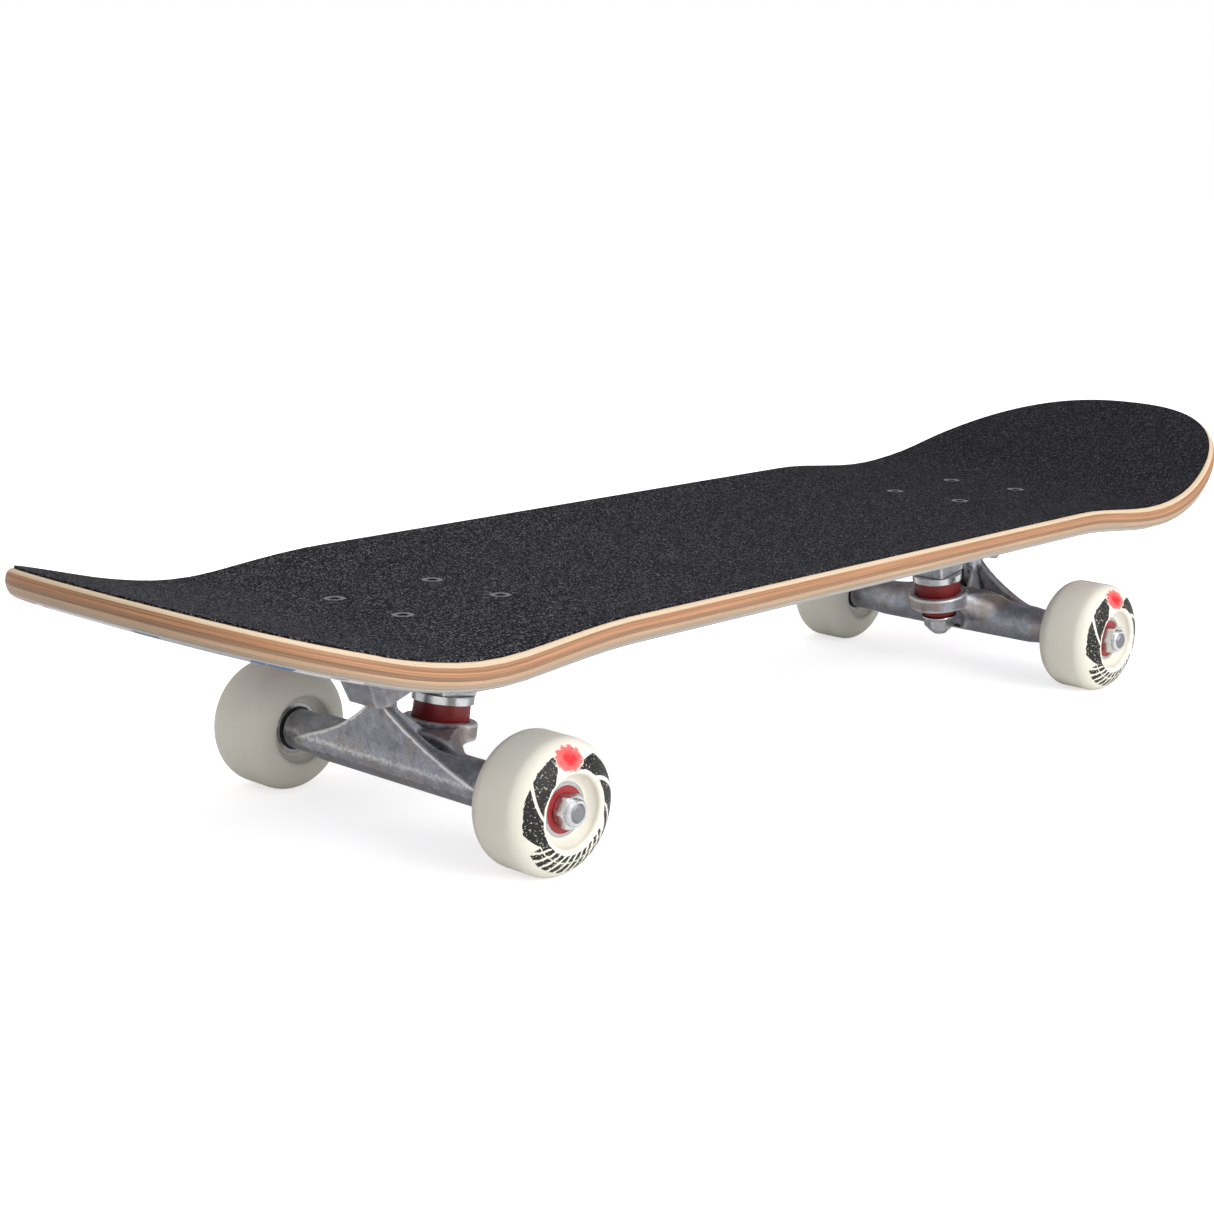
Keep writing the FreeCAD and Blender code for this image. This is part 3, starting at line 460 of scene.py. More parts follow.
# In a truck's frame: axle centre, +X towards the middle of the board.
TRUCK_TOP = DECK_FLOOR - AXLE_HEIGHT
KINGPIN_LEAN = 9.5
CUP_LEAN = -18
RING = (20.5, 0, 10.0)
PIVOT = (-11.5, 0, 36.0)
BOLTS_INBOARD = 8.9


def join(a, b, soft):
    """Distance to either shape, with a fillet."""
    share = np.clip(0.5 + 0.5 * (b - a) / soft, 0, 1)
    return b + (a - b) * share - soft * share * (1 - share)


def meet(a, b, soft):
    """Distance to what two shapes share, with a rounded edge."""
    return -join(-a, -b, soft)


def cut(a, b, soft):
    return meet(a, -b, soft)


class Field:
    """A box of points in a truck's frame, where shapes are distances that are negative inside."""

    def __init__(self, low, high, step=0.6):
        self.low = np.array(low, float)
        self.step = step
        axes = [np.arange(a, b + step, step, dtype=np.float32) for a, b in zip(low, high)]
        self.x, self.y, self.z = np.meshgrid(*axes, indexing="ij", sparse=True)
        self.reach = np.abs(self.y)

    def along(self, centre, lean):
        """(across in x, up) in a frame whose +Z leans towards +X."""
        sine, cosine = math.sin(math.radians(lean)), math.cos(math.radians(lean))
        x, z = self.x - centre[0], self.z - centre[2]
        return x * cosine - z * sine, x * sine + z * cosine

    def pin(self, centre, lean, radius, low, high, soft=0.3):
        """A cylinder on a leaning axis."""
        across, up = self.along(centre, lean)
        wall = np.sqrt(across ** 2 + self.y ** 2) - radius
        return meet(wall, np.maximum(low - up, up - high), soft)

    def mesh(self, values):
        """Points and quads of the surface where the values change sign."""
        inside = values < 0
        corners = [np.array(c) for c in np.ndindex(2, 2, 2)]
        size = np.array(values.shape) - 1
        count = sum(inside[tuple(slice(c, c + s) for c, s in zip(corner, size))].astype(np.int8)
                    for corner in corners)
        cells = np.argwhere((count > 0) & (count < 8))
        number = np.full(size, -1)
        number[tuple(cells.T)] = np.arange(len(cells))
        total = np.zeros((len(cells), 3))
        hits = np.zeros((len(cells), 1))
        for a in corners:
            for axis in np.flatnonzero(a == 0):
                b = a + np.eye(3, dtype=int)[axis]
                start, end = values[tuple((cells + a).T)], values[tuple((cells + b).T)]
                crossed = (start < 0) != (end < 0)
                share = start / np.where(crossed, start - end, 1)
                total[crossed] += (a + share[:, None] * (b - a))[crossed]
                hits[crossed] += 1
        points = self.low + self.step * (cells + total / hits)
        quads = []
        turn = np.eye(3, dtype=int)
        for axis in range(3):
            u, v = [(1, 2), (2, 0), (0, 1)][axis]
            near = [slice(None)] * 3
            far = [slice(None)] * 3
            near[axis], far[axis] = slice(0, -1), slice(1, None)
            flips = np.argwhere(inside[tuple(near)] != inside[tuple(far)])
            flips = flips[(flips[:, u] > 0) & (flips[:, v] > 0)]
            ring = [flips - turn[u] - turn[v], flips - turn[v], flips, flips - turn[u]]
            quad = np.stack([number[tuple(cell.T)] for cell in ring], axis=-1)
            outward = inside[tuple(flips.T)]
            quad[~outward] = quad[~outward][:, ::-1]
            quads.append(quad)
        return points, np.concatenate(quads)


# Hanger sizes. Slanted faces have a factor below 1 in the shapes, which makes up for their slant.
TUBE_RADIUS, TUBE_HALF = 9.7, 67.5
SLIM_FROM, SLIM_RUN = 46, 11
AXLE_HOLE = 4.0
WEB_FRONT, WEB_BACK, WEB_FOOT, WEB_TOP = -9.5, -2.9, -1.9, 29
WEB_FRONT_LEAN, WEB_BACK_LEAN = 0.19, 0.27
NECK_TOP, NECK_HALF = 25, 7
WEB_HALF = 57
SEAM_FRONT, SEAM_HEIGHT, SEAM_RADIUS, SEAM_HALF = -9.45, 2.0, 0.55, 56
RING_RADIUS, RING_LOW, RING_HIGH = 16.0, -3.5, 4.1
YOKE_RUN, YOKE_END, YOKE_SPREAD = 22, 15, 31
YOKE_TOP, YOKE_CREST, YOKE_FLOOR, YOKE_LIFT = 14.0, 14.2, -5.6, 11.5
RIB_TOP, RIB_HALF = 26.5, 0.95
BALL_RADIUS, NECK_RADIUS, NECK_LEAN = 6.3, 5.15, 0.17
# (radius, low, high) along the kingpin: the bushings' seats, the hole, and room round the small washer.
RING_CUTS = ((12.35, 1.5, 9.0), (11.85, -6.0, -1.5), (7.3, -9.0, 9.0), (13.6, -20.0, -3.5))


def web_of(f):
    """The leaning plate in front of the tube, whose edges sweep up to the neck."""
    rise = f.z - WEB_FOOT
    front = (WEB_FRONT - WEB_FRONT_LEAN * rise - f.x) * 0.98
    back = (f.x - (WEB_BACK - WEB_BACK_LEAN * rise)) * 0.96
    drop = NECK_TOP - f.z
    half_width = NECK_HALF + 1.2 * drop + 0.03 * drop ** 2
    web = meet(np.maximum(front, back), (f.reach - half_width) * 0.45, 0.7)
    web = meet(web, np.maximum(f.z - WEB_TOP, -1 - f.z), 0.5)
    return meet(web, (f.reach - WEB_HALF) * 0.7, 3.0)


def seam_of(f):
    """The seam that the mould leaves along the front of the tube."""
    forward = f.x - SEAM_FRONT + 0.05 * np.maximum(f.z, 0)
    seam = np.sqrt(forward ** 2 + (f.z - SEAM_HEIGHT) ** 2) - SEAM_RADIUS
    return meet(seam, f.reach - SEAM_HALF, 0.5)


def yoke_of(f):
    """What carries the ring; it narrows and lifts off the tube towards the ring."""
    run = np.clip(f.x / YOKE_RUN, 0, 1)
    plan = (f.reach - (YOKE_END + YOKE_SPREAD * (1 - run) ** 1.6)) * (0.42 + 0.5 * run)
    ridge = YOKE_TOP - 12.4 * np.clip((f.reach - 14) / 30, 0, 1)
    ridge_x = YOKE_RUN * (1 - np.clip((f.reach - YOKE_END) / YOKE_SPREAD, 0, 1) ** 0.625)
    crest = YOKE_CREST - 0.0105 * np.maximum(f.reach - 14, 0) ** 1.9
    top = (f.z - np.minimum(crest, ridge + 0.5 * np.maximum(ridge_x - f.x, 0))) * 0.86
    floor = (YOKE_FLOOR + YOKE_LIFT * run - f.z) * 0.9
    return meet(meet(plan, np.maximum(top, floor), 3.0), np.maximum(-f.x, f.x - YOKE_RUN), 0.5)


def ribs_of(f):
    """Two thin ribs that spread from the neck down to the ring."""
    slope = (f.z - (RIB_TOP - 0.9 * (f.x + 9))) * 0.74
    middle = 1.4 + 0.52 * np.clip(27 - f.z, 0, 20)
    flank = (np.abs(f.reach - middle) - RIB_HALF) * 0.89
    return meet(meet(slope, flank, 0.6), np.maximum(np.maximum(-9 - f.x, f.x - 8), 4 - f.z), 0.4)


def neck_of(f):
    """The neck that tapers up to the pivot ball."""
    from_neck = np.hypot(f.x - PIVOT[0] - NECK_LEAN * (PIVOT[2] - f.z), f.y)
    radius = NECK_RADIUS * np.sqrt(np.clip((f.z - 12) / 15, 0.02, 1))
    return meet(from_neck - radius, np.maximum(14 - f.z, f.z - PIVOT[2]), 0.3)


def hanger_mesh():
    """The hanger: a tube round the axle, with what carries the ring and the pivot ball."""
    f = Field((-20, -69, -12), (39, 69, 44))
    from_axle = np.sqrt(f.x ** 2 + f.z ** 2)
    radius = TUBE_RADIUS - smooth_step((f.reach - SLIM_FROM) / SLIM_RUN)
    casting = meet(from_axle - radius, f.reach - TUBE_HALF, 0.8)
    casting = join(casting, web_of(f), 6.5)
    casting = join(casting, seam_of(f), 0.8)
    ring = f.pin(RING, KINGPIN_LEAN, RING_RADIUS, RING_LOW, RING_HIGH, 1.2)
    casting = join(join(casting, yoke_of(f), 2.6), ring, 1.8)
    casting = join(casting, ribs_of(f), 1.0)
    casting = join(casting, neck_of(f), 2.0)
    from_pivot = np.sqrt((f.x - PIVOT[0]) ** 2 + f.y ** 2)
    casting = join(casting, np.hypot(from_pivot, f.z - PIVOT[2]) - BALL_RADIUS, 0.6)
    for radius, low, high in RING_CUTS:
        casting = cut(casting, f.pin(RING, KINGPIN_LEAN, radius, low, high), 0.7)
    casting = cut(casting, from_axle - AXLE_HOLE, 0.3)
    return f.mesh(casting)


# Baseplate sizes.
PLATE_HALF_LENGTH, PLATE_HALF_WIDTH, PLATE_CORNER, PLATE = 42, 28.5, 8.0, 4.6
PLATE_DRAFT = 0.06
KINGPIN_TOP = (RING[0] + (TRUCK_TOP - RING[2]) * math.tan(math.radians(KINGPIN_LEAN)), 0, TRUCK_TOP)
BOSS_HALF, BOSS_FLARE, FLARE_DEPTH, BOSS_DEPTH = 10.0, 4.0, 11.5, 31.8
HOUSING_HALF, HOUSING_LOW, HOUSING_HIGH = 12.0, -5.5, 26
WALL_HALF, WALL_FOOT = 3.6, 38
CUP_SEAT, KINGPIN_HOLE, BOLT_HOLE, BOLT_FACE = 9.0, 4.9, 2.7, 6.5
BOLT_ALONG, BOLT_ACROSS = 26.99, 20.64


def plate_of(f, top):
    """The plate under the deck, with rounded corners and drafted sides."""
    slant = PLATE_DRAFT * (f.z - top)
    a = np.abs(f.x - BOLTS_INBOARD) - PLATE_HALF_LENGTH + PLATE_CORNER - slant
    b = f.reach - PLATE_HALF_WIDTH + PLATE_CORNER - slant
    outline = np.minimum(np.maximum(a, b), 0) + np.hypot(np.maximum(a, 0), np.maximum(b, 0)) - PLATE_CORNER
    return meet(outline, np.maximum(f.z - top, top - PLATE - f.z), 1.1)


def boss_of(f):
    """The square boss that the kingpin hangs from."""
    across, up = f.along(KINGPIN_TOP, KINGPIN_LEAN)
    side = BOSS_HALF + BOSS_FLARE * np.clip((up + FLARE_DEPTH) / FLARE_DEPTH, 0, 1) ** 1.6
    return meet(np.maximum(np.abs(across), f.reach) - side, np.maximum(-BOSS_DEPTH - up, up), 0.8)


def housing_of(f):
    """The leaning pivot housing with flat sides."""
    across, up = f.along(PIVOT, CUP_LEAN)
    side = HOUSING_HALF + 0.11 * (up - HOUSING_LOW)
    square = meet(np.abs(across) - side, f.reach - side, 0.5)
    bevel = (np.abs(across) + f.reach) * 0.7071 - side * 1.21
    return meet(meet(square, bevel, 0.5), np.maximum(HOUSING_LOW - up, up - HOUSING_HIGH), 1.0)


def baseplate_mesh():
    """The baseplate, with its boss, pivot housing, wall and holes."""
    f = Field((-36, -30.6, 21), (54, 30.6, TRUCK_TOP + 0.6))
    top = TRUCK_TOP - 0.05
    casting = join(join(plate_of(f, top), boss_of(f), 3.0), housing_of(f), 2.4)

    # The wall between the boss and the housing.
    span = np.maximum(f.x - KINGPIN_TOP[0], PIVOT[0] - f.x)
    flank = f.reach - WALL_HALF - 0.25 * np.maximum(f.z - 40, 0)
    casting = join(casting, meet(flank, np.maximum(span, WALL_FOOT - f.z), 0.8), 2.6)
    casting = np.maximum(casting, f.z - top)

    casting = cut(casting, f.pin(PIVOT, CUP_LEAN, CUP_SEAT, -12, 9.0), 0.6)
    casting = cut(casting, f.pin(KINGPIN_TOP, KINGPIN_LEAN, KINGPIN_HOLE, -40, 4), 0.3)
    for way in (-1, 1):
        x = f.x - (BOLTS_INBOARD + way * BOLT_ALONG)
        hole = np.hypot(x, f.reach - BOLT_ACROSS)
        casting = cut(casting, hole - BOLT_HOLE, 0.3)
        casting = cut(casting, np.maximum(hole - BOLT_FACE, f.z - (top - PLATE)), 0.3)
    return f.mesh(casting)


def shade_and_wear_of(points, quads):
    """How sharply each point stands out of its neighbours: 0 in a hollow, 0.5 flat, 1 on an edge."""
    total = np.zeros_like(points)
    count = np.zeros((len(points), 1))
    normal = np.zeros_like(points)
    corners = points[quads]
    face_normal = np.cross(corners[:, 2] - corners[:, 0], corners[:, 3] - corners[:, 1])
    for i in range(4):
        np.add.at(total, quads[:, i], corners[:, (i + 1) % 4] + corners[:, (i + 3) % 4])
        np.add.at(count, quads[:, i], 2)
        np.add.at(normal, quads[:, i], face_normal)
    normal /= np.maximum(np.linalg.norm(normal, axis=1, keepdims=True), 1e-9)
    bulge = ((points - total / np.maximum(count, 1)) * normal).sum(axis=1)
    for _ in range(2):
        spread, near = np.zeros(len(points)), np.zeros(len(points))
        for i in range(4):
            np.add.at(spread, quads[:, i], bulge[quads].sum(axis=1))
            np.add.at(near, quads[:, i], 4)
        bulge = spread / near
    return np.clip(bulge / 0.05, -1, 1) * 0.5 + 0.5


def cast_look():
    """Raw cast aluminium, with painted shade towards the deck."""
    look = Look("cast_aluminium", Metallic=0.85)
    broad = look.noise(20, detail=3)
    mottle = look.noise(4.5, detail=4, roughness=0.65)
    grain = look.noise(0.9, detail=3, roughness=0.65)
    colour = look.mix(look.ramp(mottle, (0.30, 0.0), (0.70, 1.0)), (0.31, 0.32, 0.365), (0.52, 0.54, 0.59))
    colour = look.mix(look.ramp(broad, (0.50, 0.0), (0.62, 0.75)), colour, (0.40, 0.325, 0.27))
    colour = look.mix(look.ramp(grain, (0.34, 0.5), (0.46, 0.0)), colour, (0.20, 0.20, 0.215))
    colour = look.mix(look.ramp(grain, (0.60, 0.0), (0.72, 0.5)), colour, (0.76, 0.76, 0.77))

    # Painted shade in the hollows, and bright worn edges.
    uneven = look.plus(look.attribute("shade_and_wear", "Fac"), look.times(look.minus(mottle, 0.5), 0.5))
    # Painted shade: the hollows are darkened almost to black.
    colour = look.mix(look.ramp(uneven, (0.14, 0.9), (0.46, 0.0)), colour, (0.035, 0.034, 0.035))
    colour = look.mix(look.ramp(uneven, (0.60, 0.0), (0.84, 0.72)), colour, (0.88, 0.87, 0.85))

    # A rough worn band along the mould seam.
    x, height = look.axes("XZ")
    near_seam = look.minus(1.0, look.times(look.apart(height, 2.2), 0.30))
    front = look.below(x, -7.2)
    specks = look.noise(1.9, detail=5, roughness=0.75)
    seam_wear_and_nose_shade = look.times(look.math("MAXIMUM", near_seam, 0.0), front)
    seam_wear_and_nose_shade = look.ramp(look.plus(look.times(seam_wear_and_nose_shade, 0.34), specks), (0.68, 0.0), (0.86, 0.75))
    colour = look.mix(look.times(seam_wear_and_nose_shade, front), colour, (0.86, 0.85, 0.82))

    # Painted shade: the castings grow darker towards the deck above them.
    painted_deck_shade = look.ramp(look.over(height, 60.0), (0.42, 0.0), (0.60, 0.24))
    colour = look.mix(painted_deck_shade, colour, (0.05, 0.05, 0.055))
    rough = look.ramp(look.plus(look.times(mottle, 0.6), look.times(grain, 0.4)), (0.3, 0.36), (0.7, 0.54))
    bump = look.bump(mottle, 0.30, 0.4, look.bump(grain, 0.22, 0.5))
    return look.finish(Base_Color=colour, Roughness=rough, Normal=bump)


TRUCKS = {"rear": (REAR, 0.0), "front": (FRONT, math.pi)}


def truck_matrix(end):
    middle, turn = TRUCKS[end]
    return Matrix.Translation(Vector(middle * MM)) @ Matrix.Rotation(turn, 4, "Z")


cast_metal = cast_look()
hanger_shape = hanger_mesh()
baseplate_shape = baseplate_mesh()
for end in TRUCKS:
    for kind, shape, body in (("hanger", hanger_shape, f"{end}_steering"),
                              ("baseplate", baseplate_shape, "deck")):
        points, quads = shape
        casting = make_object(f"{end}_cast_{kind}", points, quads.tolist(), cast_metal)
        # How each point stands out, for the painted shade in the hollows and the worn edges.
        shade_and_wear = casting.data.attributes.new("shade_and_wear", "FLOAT", "POINT")
        shade_and_wear.data.foreach_set("value", shade_and_wear_of(points, quads).astype(np.float32))
        casting.matrix_world = truck_matrix(end)
        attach(casting, body)
        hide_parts(f"{end}_{kind}")


# ---------------------------------------------------------------- wheels

WHEEL_RADIUS, BEARING_RADIUS, BEARING_INNER, HUB = 28.0, 11.0, 5.0, 9.5
# (radius, out) of the middle and the size of the shoulder's ellipse and of the lip's.
SHOULDER, SHOULDER_SIZE = (12, 7), (16, 11)
LIP, LIP_SIZE = (16.68, 15.5), (2.0, 2.02)
# Where the bowl inside the lip starts, and how far it goes in and down.
BOWL, BOWL_SIZE = (14.68, 15.5), (2.4, 3.3)
WHEEL_POINTS = 160


def wheel_profile():
    """(radius, out) points of half the wheel, from the middle of the tread to the middle of the hub."""
    points = [(WHEEL_RADIUS, 0), (WHEEL_RADIUS, 3.5)]
    for angle in np.radians(np.linspace(0, 73, 20)):
        points.append((SHOULDER[0] + SHOULDER_SIZE[0] * math.cos(angle),
                       SHOULDER[1] + SHOULDER_SIZE[1] * math.sin(angle)))
    for angle in np.radians(np.linspace(20, 90, 8)):
        points.append((LIP[0] - LIP_SIZE[0] * math.sin(angle), LIP[1] + LIP_SIZE[1] * math.cos(angle)))
    for share in np.linspace(0.2, 1, 7):
        points.append((BOWL[0] - BOWL_SIZE[0] * share ** 1.6, BOWL[1] - BOWL_SIZE[1] * share))
    points += [(12.0, 12.05), (11.3, 12.0), (BEARING_RADIUS, 11.8)]
    return points + [(BEARING_RADIUS, BEARING_INNER), (HUB, BEARING_INNER)]


def wheel_mesh():
    """Points and faces of a wheel with both its faces."""
    half = wheel_profile()
    outline = [(r, -out) for r, out in reversed(half)] + half[1:] + [(HUB, -BEARING_INNER)]
    faces = [tuple(reversed(face)) for face in ring_faces(len(outline), WHEEL_POINTS)]
    return turned_points(outline, WHEEL_POINTS), faces


# The print, by the share of a turn: where the brush arcs start (1) and stop (0), and the fan of bars.
BRUSH_ARCS = ((0.0, 1.0), (0.06, 0.0), (0.085, 1.0), (0.20, 0.0), (0.31, 1.0), (0.44, 0.0), (0.455, 1.0),
              (0.575, 0.0), (0.915, 1.0), (0.95, 0.0), (0.965, 1.0))
FAN = (0.585, 0.905)
PRINT_INNER, PRINT_OUTER = 16.9, 24.6
# Only the outer face is printed, so this far out from the wheel's middle.
PRINT_OUT = 11.5
SPLASH = (-1.2, 21.2)


def wheel_look():
    """Cream urethane with a generic print on the outer face."""
    look = Look("urethane", Roughness=0.46, Specular_IOR_Level=0.3, Subsurface_Weight=0.08,
                Subsurface_Radius=(0.004, 0.0035, 0.0025))
    x, y, z = look.axes("XYZ")
    radius = look.length(x, y)
    turn = look.math("FRACT", look.plus(look.over(look.math("ARCTAN2", y, x), 2 * math.pi), 1.0))
    ragged = look.minus(look.noise(2.2, detail=5, roughness=0.7), 0.5)
    torn = look.noise(0.9, detail=3, roughness=0.7)
    wobble = look.times(ragged, 2.0)
    edge = look.plus(radius, wobble)
    on_face = look.above(z, PRINT_OUT)
    ring = look.times(look.times(look.above(edge, PRINT_INNER), look.below(edge, PRINT_OUTER)), on_face)

    # Wide torn brush arcs, then a fan of short slanted bars between them.
    skew = look.times(look.minus(radius, 20.5), 0.012)
    arcs = look.ramp(look.plus(turn, skew), *BRUSH_ARCS, interpolation="CONSTANT")
    skewed = look.plus(look.times(turn, 34.0), look.times(radius, 0.16))
    bars = look.below(look.math("FRACT", look.plus(skewed, look.times(ragged, 0.9))), 0.64)
    split = look.above(look.apart(edge, 20.2), 0.22)
    fan = look.times(look.above(turn, FAN[0]), look.below(turn, FAN[1]))
    bars = look.times(look.times(bars, split), fan)
    black = look.times(look.math("MAXIMUM", arcs, bars), ring)
    black = look.times(black, look.below(torn, 0.63))

    # Red splash, with a gap round it.
    from_x, from_y = look.minus(x, SPLASH[0]), look.minus(y, SPLASH[1])
    spread = look.plus(look.times(look.times(from_x, from_x), 0.42), look.times(from_y, from_y))
    spread = look.plus(look.math("POWER", spread, 0.5), look.times(wobble, 3.2))
    splash = look.times(look.below(spread, 4.5), on_face)
    black = look.times(black, look.above(spread, 5.0))
    fade = look.ramp(look.over(spread, 4.1), (0.3, 0.0), (1.0, 1.0))
    red = look.mix(fade, (0.66, 0.022, 0.03), (0.78, 0.17, 0.16))

    cloud = look.noise(26, detail=2)
    cream = look.mix(cloud, (0.78, 0.755, 0.65), (0.82, 0.795, 0.70))
    colour = look.mix(black, cream, (0.012, 0.0115, 0.011))
    colour = look.mix(splash, colour, red)
    return look.finish(Base_Color=colour, Normal=look.bump(cloud, 0.2, 0.3))


# ---------------------------------------------------------------- bushings

KINGPIN_BORE = 5.0


def bushing_profile(top_radius, foot_radius, height, straight):
    """(radius, height) points from the bore over the outside and back; straight is the full-width part."""
    soft = 0.9
    points = [(KINGPIN_BORE, 0), (KINGPIN_BORE, height), (top_radius - soft, height)]
    points += arc((top_radius - soft, height - soft), soft, 80, 0, 5)
    points += [(top_radius, height - straight)]
    points += [(foot_radius + soft * 0.35, soft * 1.2), (foot_radius, soft), (foot_radius - soft * 0.4, 0.25)]
    return points + [(foot_radius - soft, 0), (KINGPIN_BORE, 0)]


def washer_profile():
    """(radius, height) points round the small cup washer, in the ring's frame."""
    points = [(KINGPIN_BORE, -10.6), (8.2, -10.6)] + arc((8.2, -9.4), 1.2, -75, -8, 5)
    points += [(9.4, -8.9), (9.2, -8.7), (8.85, -8.75), (8.7, -9.0)]
    return points + [(KINGPIN_BORE, -9.05), (KINGPIN_BORE, -10.6)]


def bushing_look():
    """Deep red urethane, a little blotched."""
    look = Look("bushing_urethane")
    blotch = look.noise(6, detail=3)
    grain = look.noise(0.6, detail=3)
    colour = look.mix(look.ramp(blotch, (0.3, 0.0), (0.7, 1.0)), (0.165, 0.010, 0.012), (0.235, 0.017, 0.018))
    colour = look.mix(look.ramp(grain, (0.58, 0.0), (0.75, 0.5)), colour, (0.30, 0.06, 0.05))
    return look.finish(Base_Color=colour, Roughness=look.ramp(grain, (0.3, 0.28), (0.7, 0.46)),
                       Normal=look.bump(grain, 0.08, 0.5))


# ---------------------------------------------------------------- finishes of the CAD pieces

def metal_look(name, dark, light, rough, blotch=6.0, depth=0.03, metallic=1.0):
    """A surface that varies between two colours, and between two roughnesses with them."""
    look = Look(name, Metallic=metallic)
    cloud = look.noise(blotch, detail=4, roughness=0.6)
    fine = look.noise(0.5, detail=3, roughness=0.6)
    both = look.plus(look.times(cloud, 0.6), look.times(fine, 0.4))
    colour = look.mix(look.ramp(both, (0.32, 0.0), (0.68, 1.0)), dark, light)
    spread = look.ramp(both, (0.3, rough[0]), (0.7, rough[1]))
    return look.finish(Base_Color=colour, Roughness=spread, Normal=look.bump(fine, depth, 0.5))


# How far behind the middle the painted shade on the grip tape starts to darken it towards the nose, and over
# what length.
TAPE_BEHIND, TAPE_RUN = 380.0, 740.0


def grip_look():
    """Black grit with scattered bright grains, and painted shade that darkens it a little towards the nose.
    """
    look = Look("grit", Roughness=0.8, Specular_IOR_Level=0.05)
    grit = look.cells(0.62, "Distance")
    tone = look.node("ShaderNodeSeparateColor", {0: look.cells(0.55, "Color")})
    fine = look.noise(0.9, detail=3, roughness=0.7)
    coarse = look.noise(0.85, detail=3, roughness=0.7)
    patch = look.noise(34, detail=3)
    base = look.mix(look.ramp(patch, (0.35, 0.0), (0.65, 1.0)), (0.009, 0.009, 0.0115), (0.013, 0.013, 0.016))
    colour = look.mix(look.ramp(coarse, (0.42, 0.95), (0.53, 0.0)), base, (0.001, 0.001, 0.0015))
    colour = look.mix(look.ramp(coarse, (0.54, 0.0), (0.70, 0.7)), colour, (0.058, 0.058, 0.068))
    colour = look.mix(look.ramp(tone, (0.76, 0.0), (0.98, 0.9)), colour, (0.17, 0.17, 0.195))
    x = look.axes("X")[0]
    # Painted shade: the tape is darker towards the nose.
    seam_wear_and_nose_shade = look.ramp(look.over(look.plus(x, TAPE_BEHIND), TAPE_RUN), (0.1, 0.0), (0.9, 0.6))
    colour = look.mix(seam_wear_and_nose_shade, colour, (0.006, 0.006, 0.008))
    bump = look.bump(look.ramp(grit, (0.0, 1.0), (0.6, 0.0)), 0.22, 0.8)
    return look.finish(Base_Color=colour, Normal=look.bump(fine, 0.25, 0.6, bump))


# The outer seals lie further from the board's middle line than this.
OUTER_SEALS = 74.0


def seal_look():
    """Red rubber on the outer faces; plain dark shields face the hanger."""
    look = Look("shields", Roughness=0.44)
    fine = look.noise(0.6, detail=3)
    y = look.axes("Y")[0]
    outer = look.above(look.math("ABSOLUTE", y), OUTER_SEALS)
    red = look.mix(look.ramp(fine, (0.35, 0.0), (0.65, 1.0)), (0.30, 0.014, 0.018), (0.38, 0.022, 0.026))
    dark = look.mix(look.ramp(fine, (0.35, 0.0), (0.65, 1.0)), (0.030, 0.030, 0.032), (0.055, 0.055, 0.058))
    return look.finish(Base_Color=look.mix(outer, dark, red), Normal=look.bump(fine, 0.05, 0.5))


SOCKET_RADIUS = 2.4


def bolt_look():
    """Dull grey steel, with painted shade as a near-black disc for the key socket in the middle of each head.
    """
    look = Look("dull_steel", Metallic=0.3, Roughness=0.58)
    fine = look.noise(0.5, detail=3)
    x, y = look.axes("XY")
    along = look.minus(look.apart(look.apart(x, TRUCK_MIDDLE), PLATE_MIDDLE), BOLT_PITCH[0] / 2)
    across = look.minus(look.math("ABSOLUTE", y), BOLT_PITCH[1] / 2)
    socket = look.below(look.square_sum(along, across), SOCKET_RADIUS ** 2)
    grey = look.mix(look.ramp(fine, (0.35, 0.0), (0.65, 1.0)), (0.11, 0.11, 0.12), (0.16, 0.16, 0.175))
    # Painted shade: the socket's recess is a near-black disc.
    colour = look.mix(socket, grey, (0.003, 0.003, 0.003))
    return look.finish(Base_Color=colour, Normal=look.bump(fine, 0.03, 0.5))


zinc = metal_look("zinc", (0.46, 0.475, 0.50), (0.76, 0.76, 0.76), (0.15, 0.32), blotch=3.0)
axle_steel = metal_look("axle_steel", (0.20, 0.205, 0.215), (0.30, 0.305, 0.315), (0.42, 0.56))
bearing_steel = metal_look("bearing_steel", (0.42, 0.42, 0.43), (0.55, 0.55, 0.56), (0.2, 0.32), blotch=4.0)
ball_steel = metal_look("ball_steel", (0.62, 0.62, 0.64), (0.70, 0.70, 0.72), (0.08, 0.14), depth=0.0)
cage_brass = metal_look("cage_brass", (0.50, 0.36, 0.16), (0.60, 0.45, 0.22), (0.3, 0.42))
rubber = metal_look("black_rubber", (0.010, 0.010, 0.011), (0.022, 0.022, 0.023), (0.5, 0.7), depth=0.05,
                    metallic=0.0)

# The look and the slot of each CAD node, by the end of its name. Where two endings fit, the later one holds.
FINISHES = {
    "grip_tape": (grip_look(), "grip"),
    "mounting_bolts": (bolt_look(), "bolt_steel"),
    "mounting_nuts": (zinc, "zinc_steel"),
    "pivot_cup": (rubber, "pivot_cup"),
    "kingpin": (zinc, "zinc_steel"),
    "kingpin_nut": (zinc, "zinc_steel"),
    "cup_washer": (zinc, "zinc_steel"),
    "axle": (axle_steel, "axle_steel"),
    "axle_nuts": (zinc, "zinc_steel"),
    "speed_washers": (zinc, "zinc_steel"),
    "inner_rings": (bearing_steel, "bearing_steel"),
    "spacers": (axle_steel, "axle_steel"),
    "outer_rings": (bearing_steel, "bearing_steel"),
    "seals": (seal_look(), "seal"),
    "balls": (ball_steel, "ball_steel"),
    "cages": (cage_brass, "cage"),
}
for node, thing in nodes.items():
    for ending, (material, slot_name) in FINISHES.items():
        if node.endswith(ending):
            thing.data.materials.clear()
            thing.data.materials.append(material)


# ---------------------------------------------------------------- wheels, bushings and small washers in place

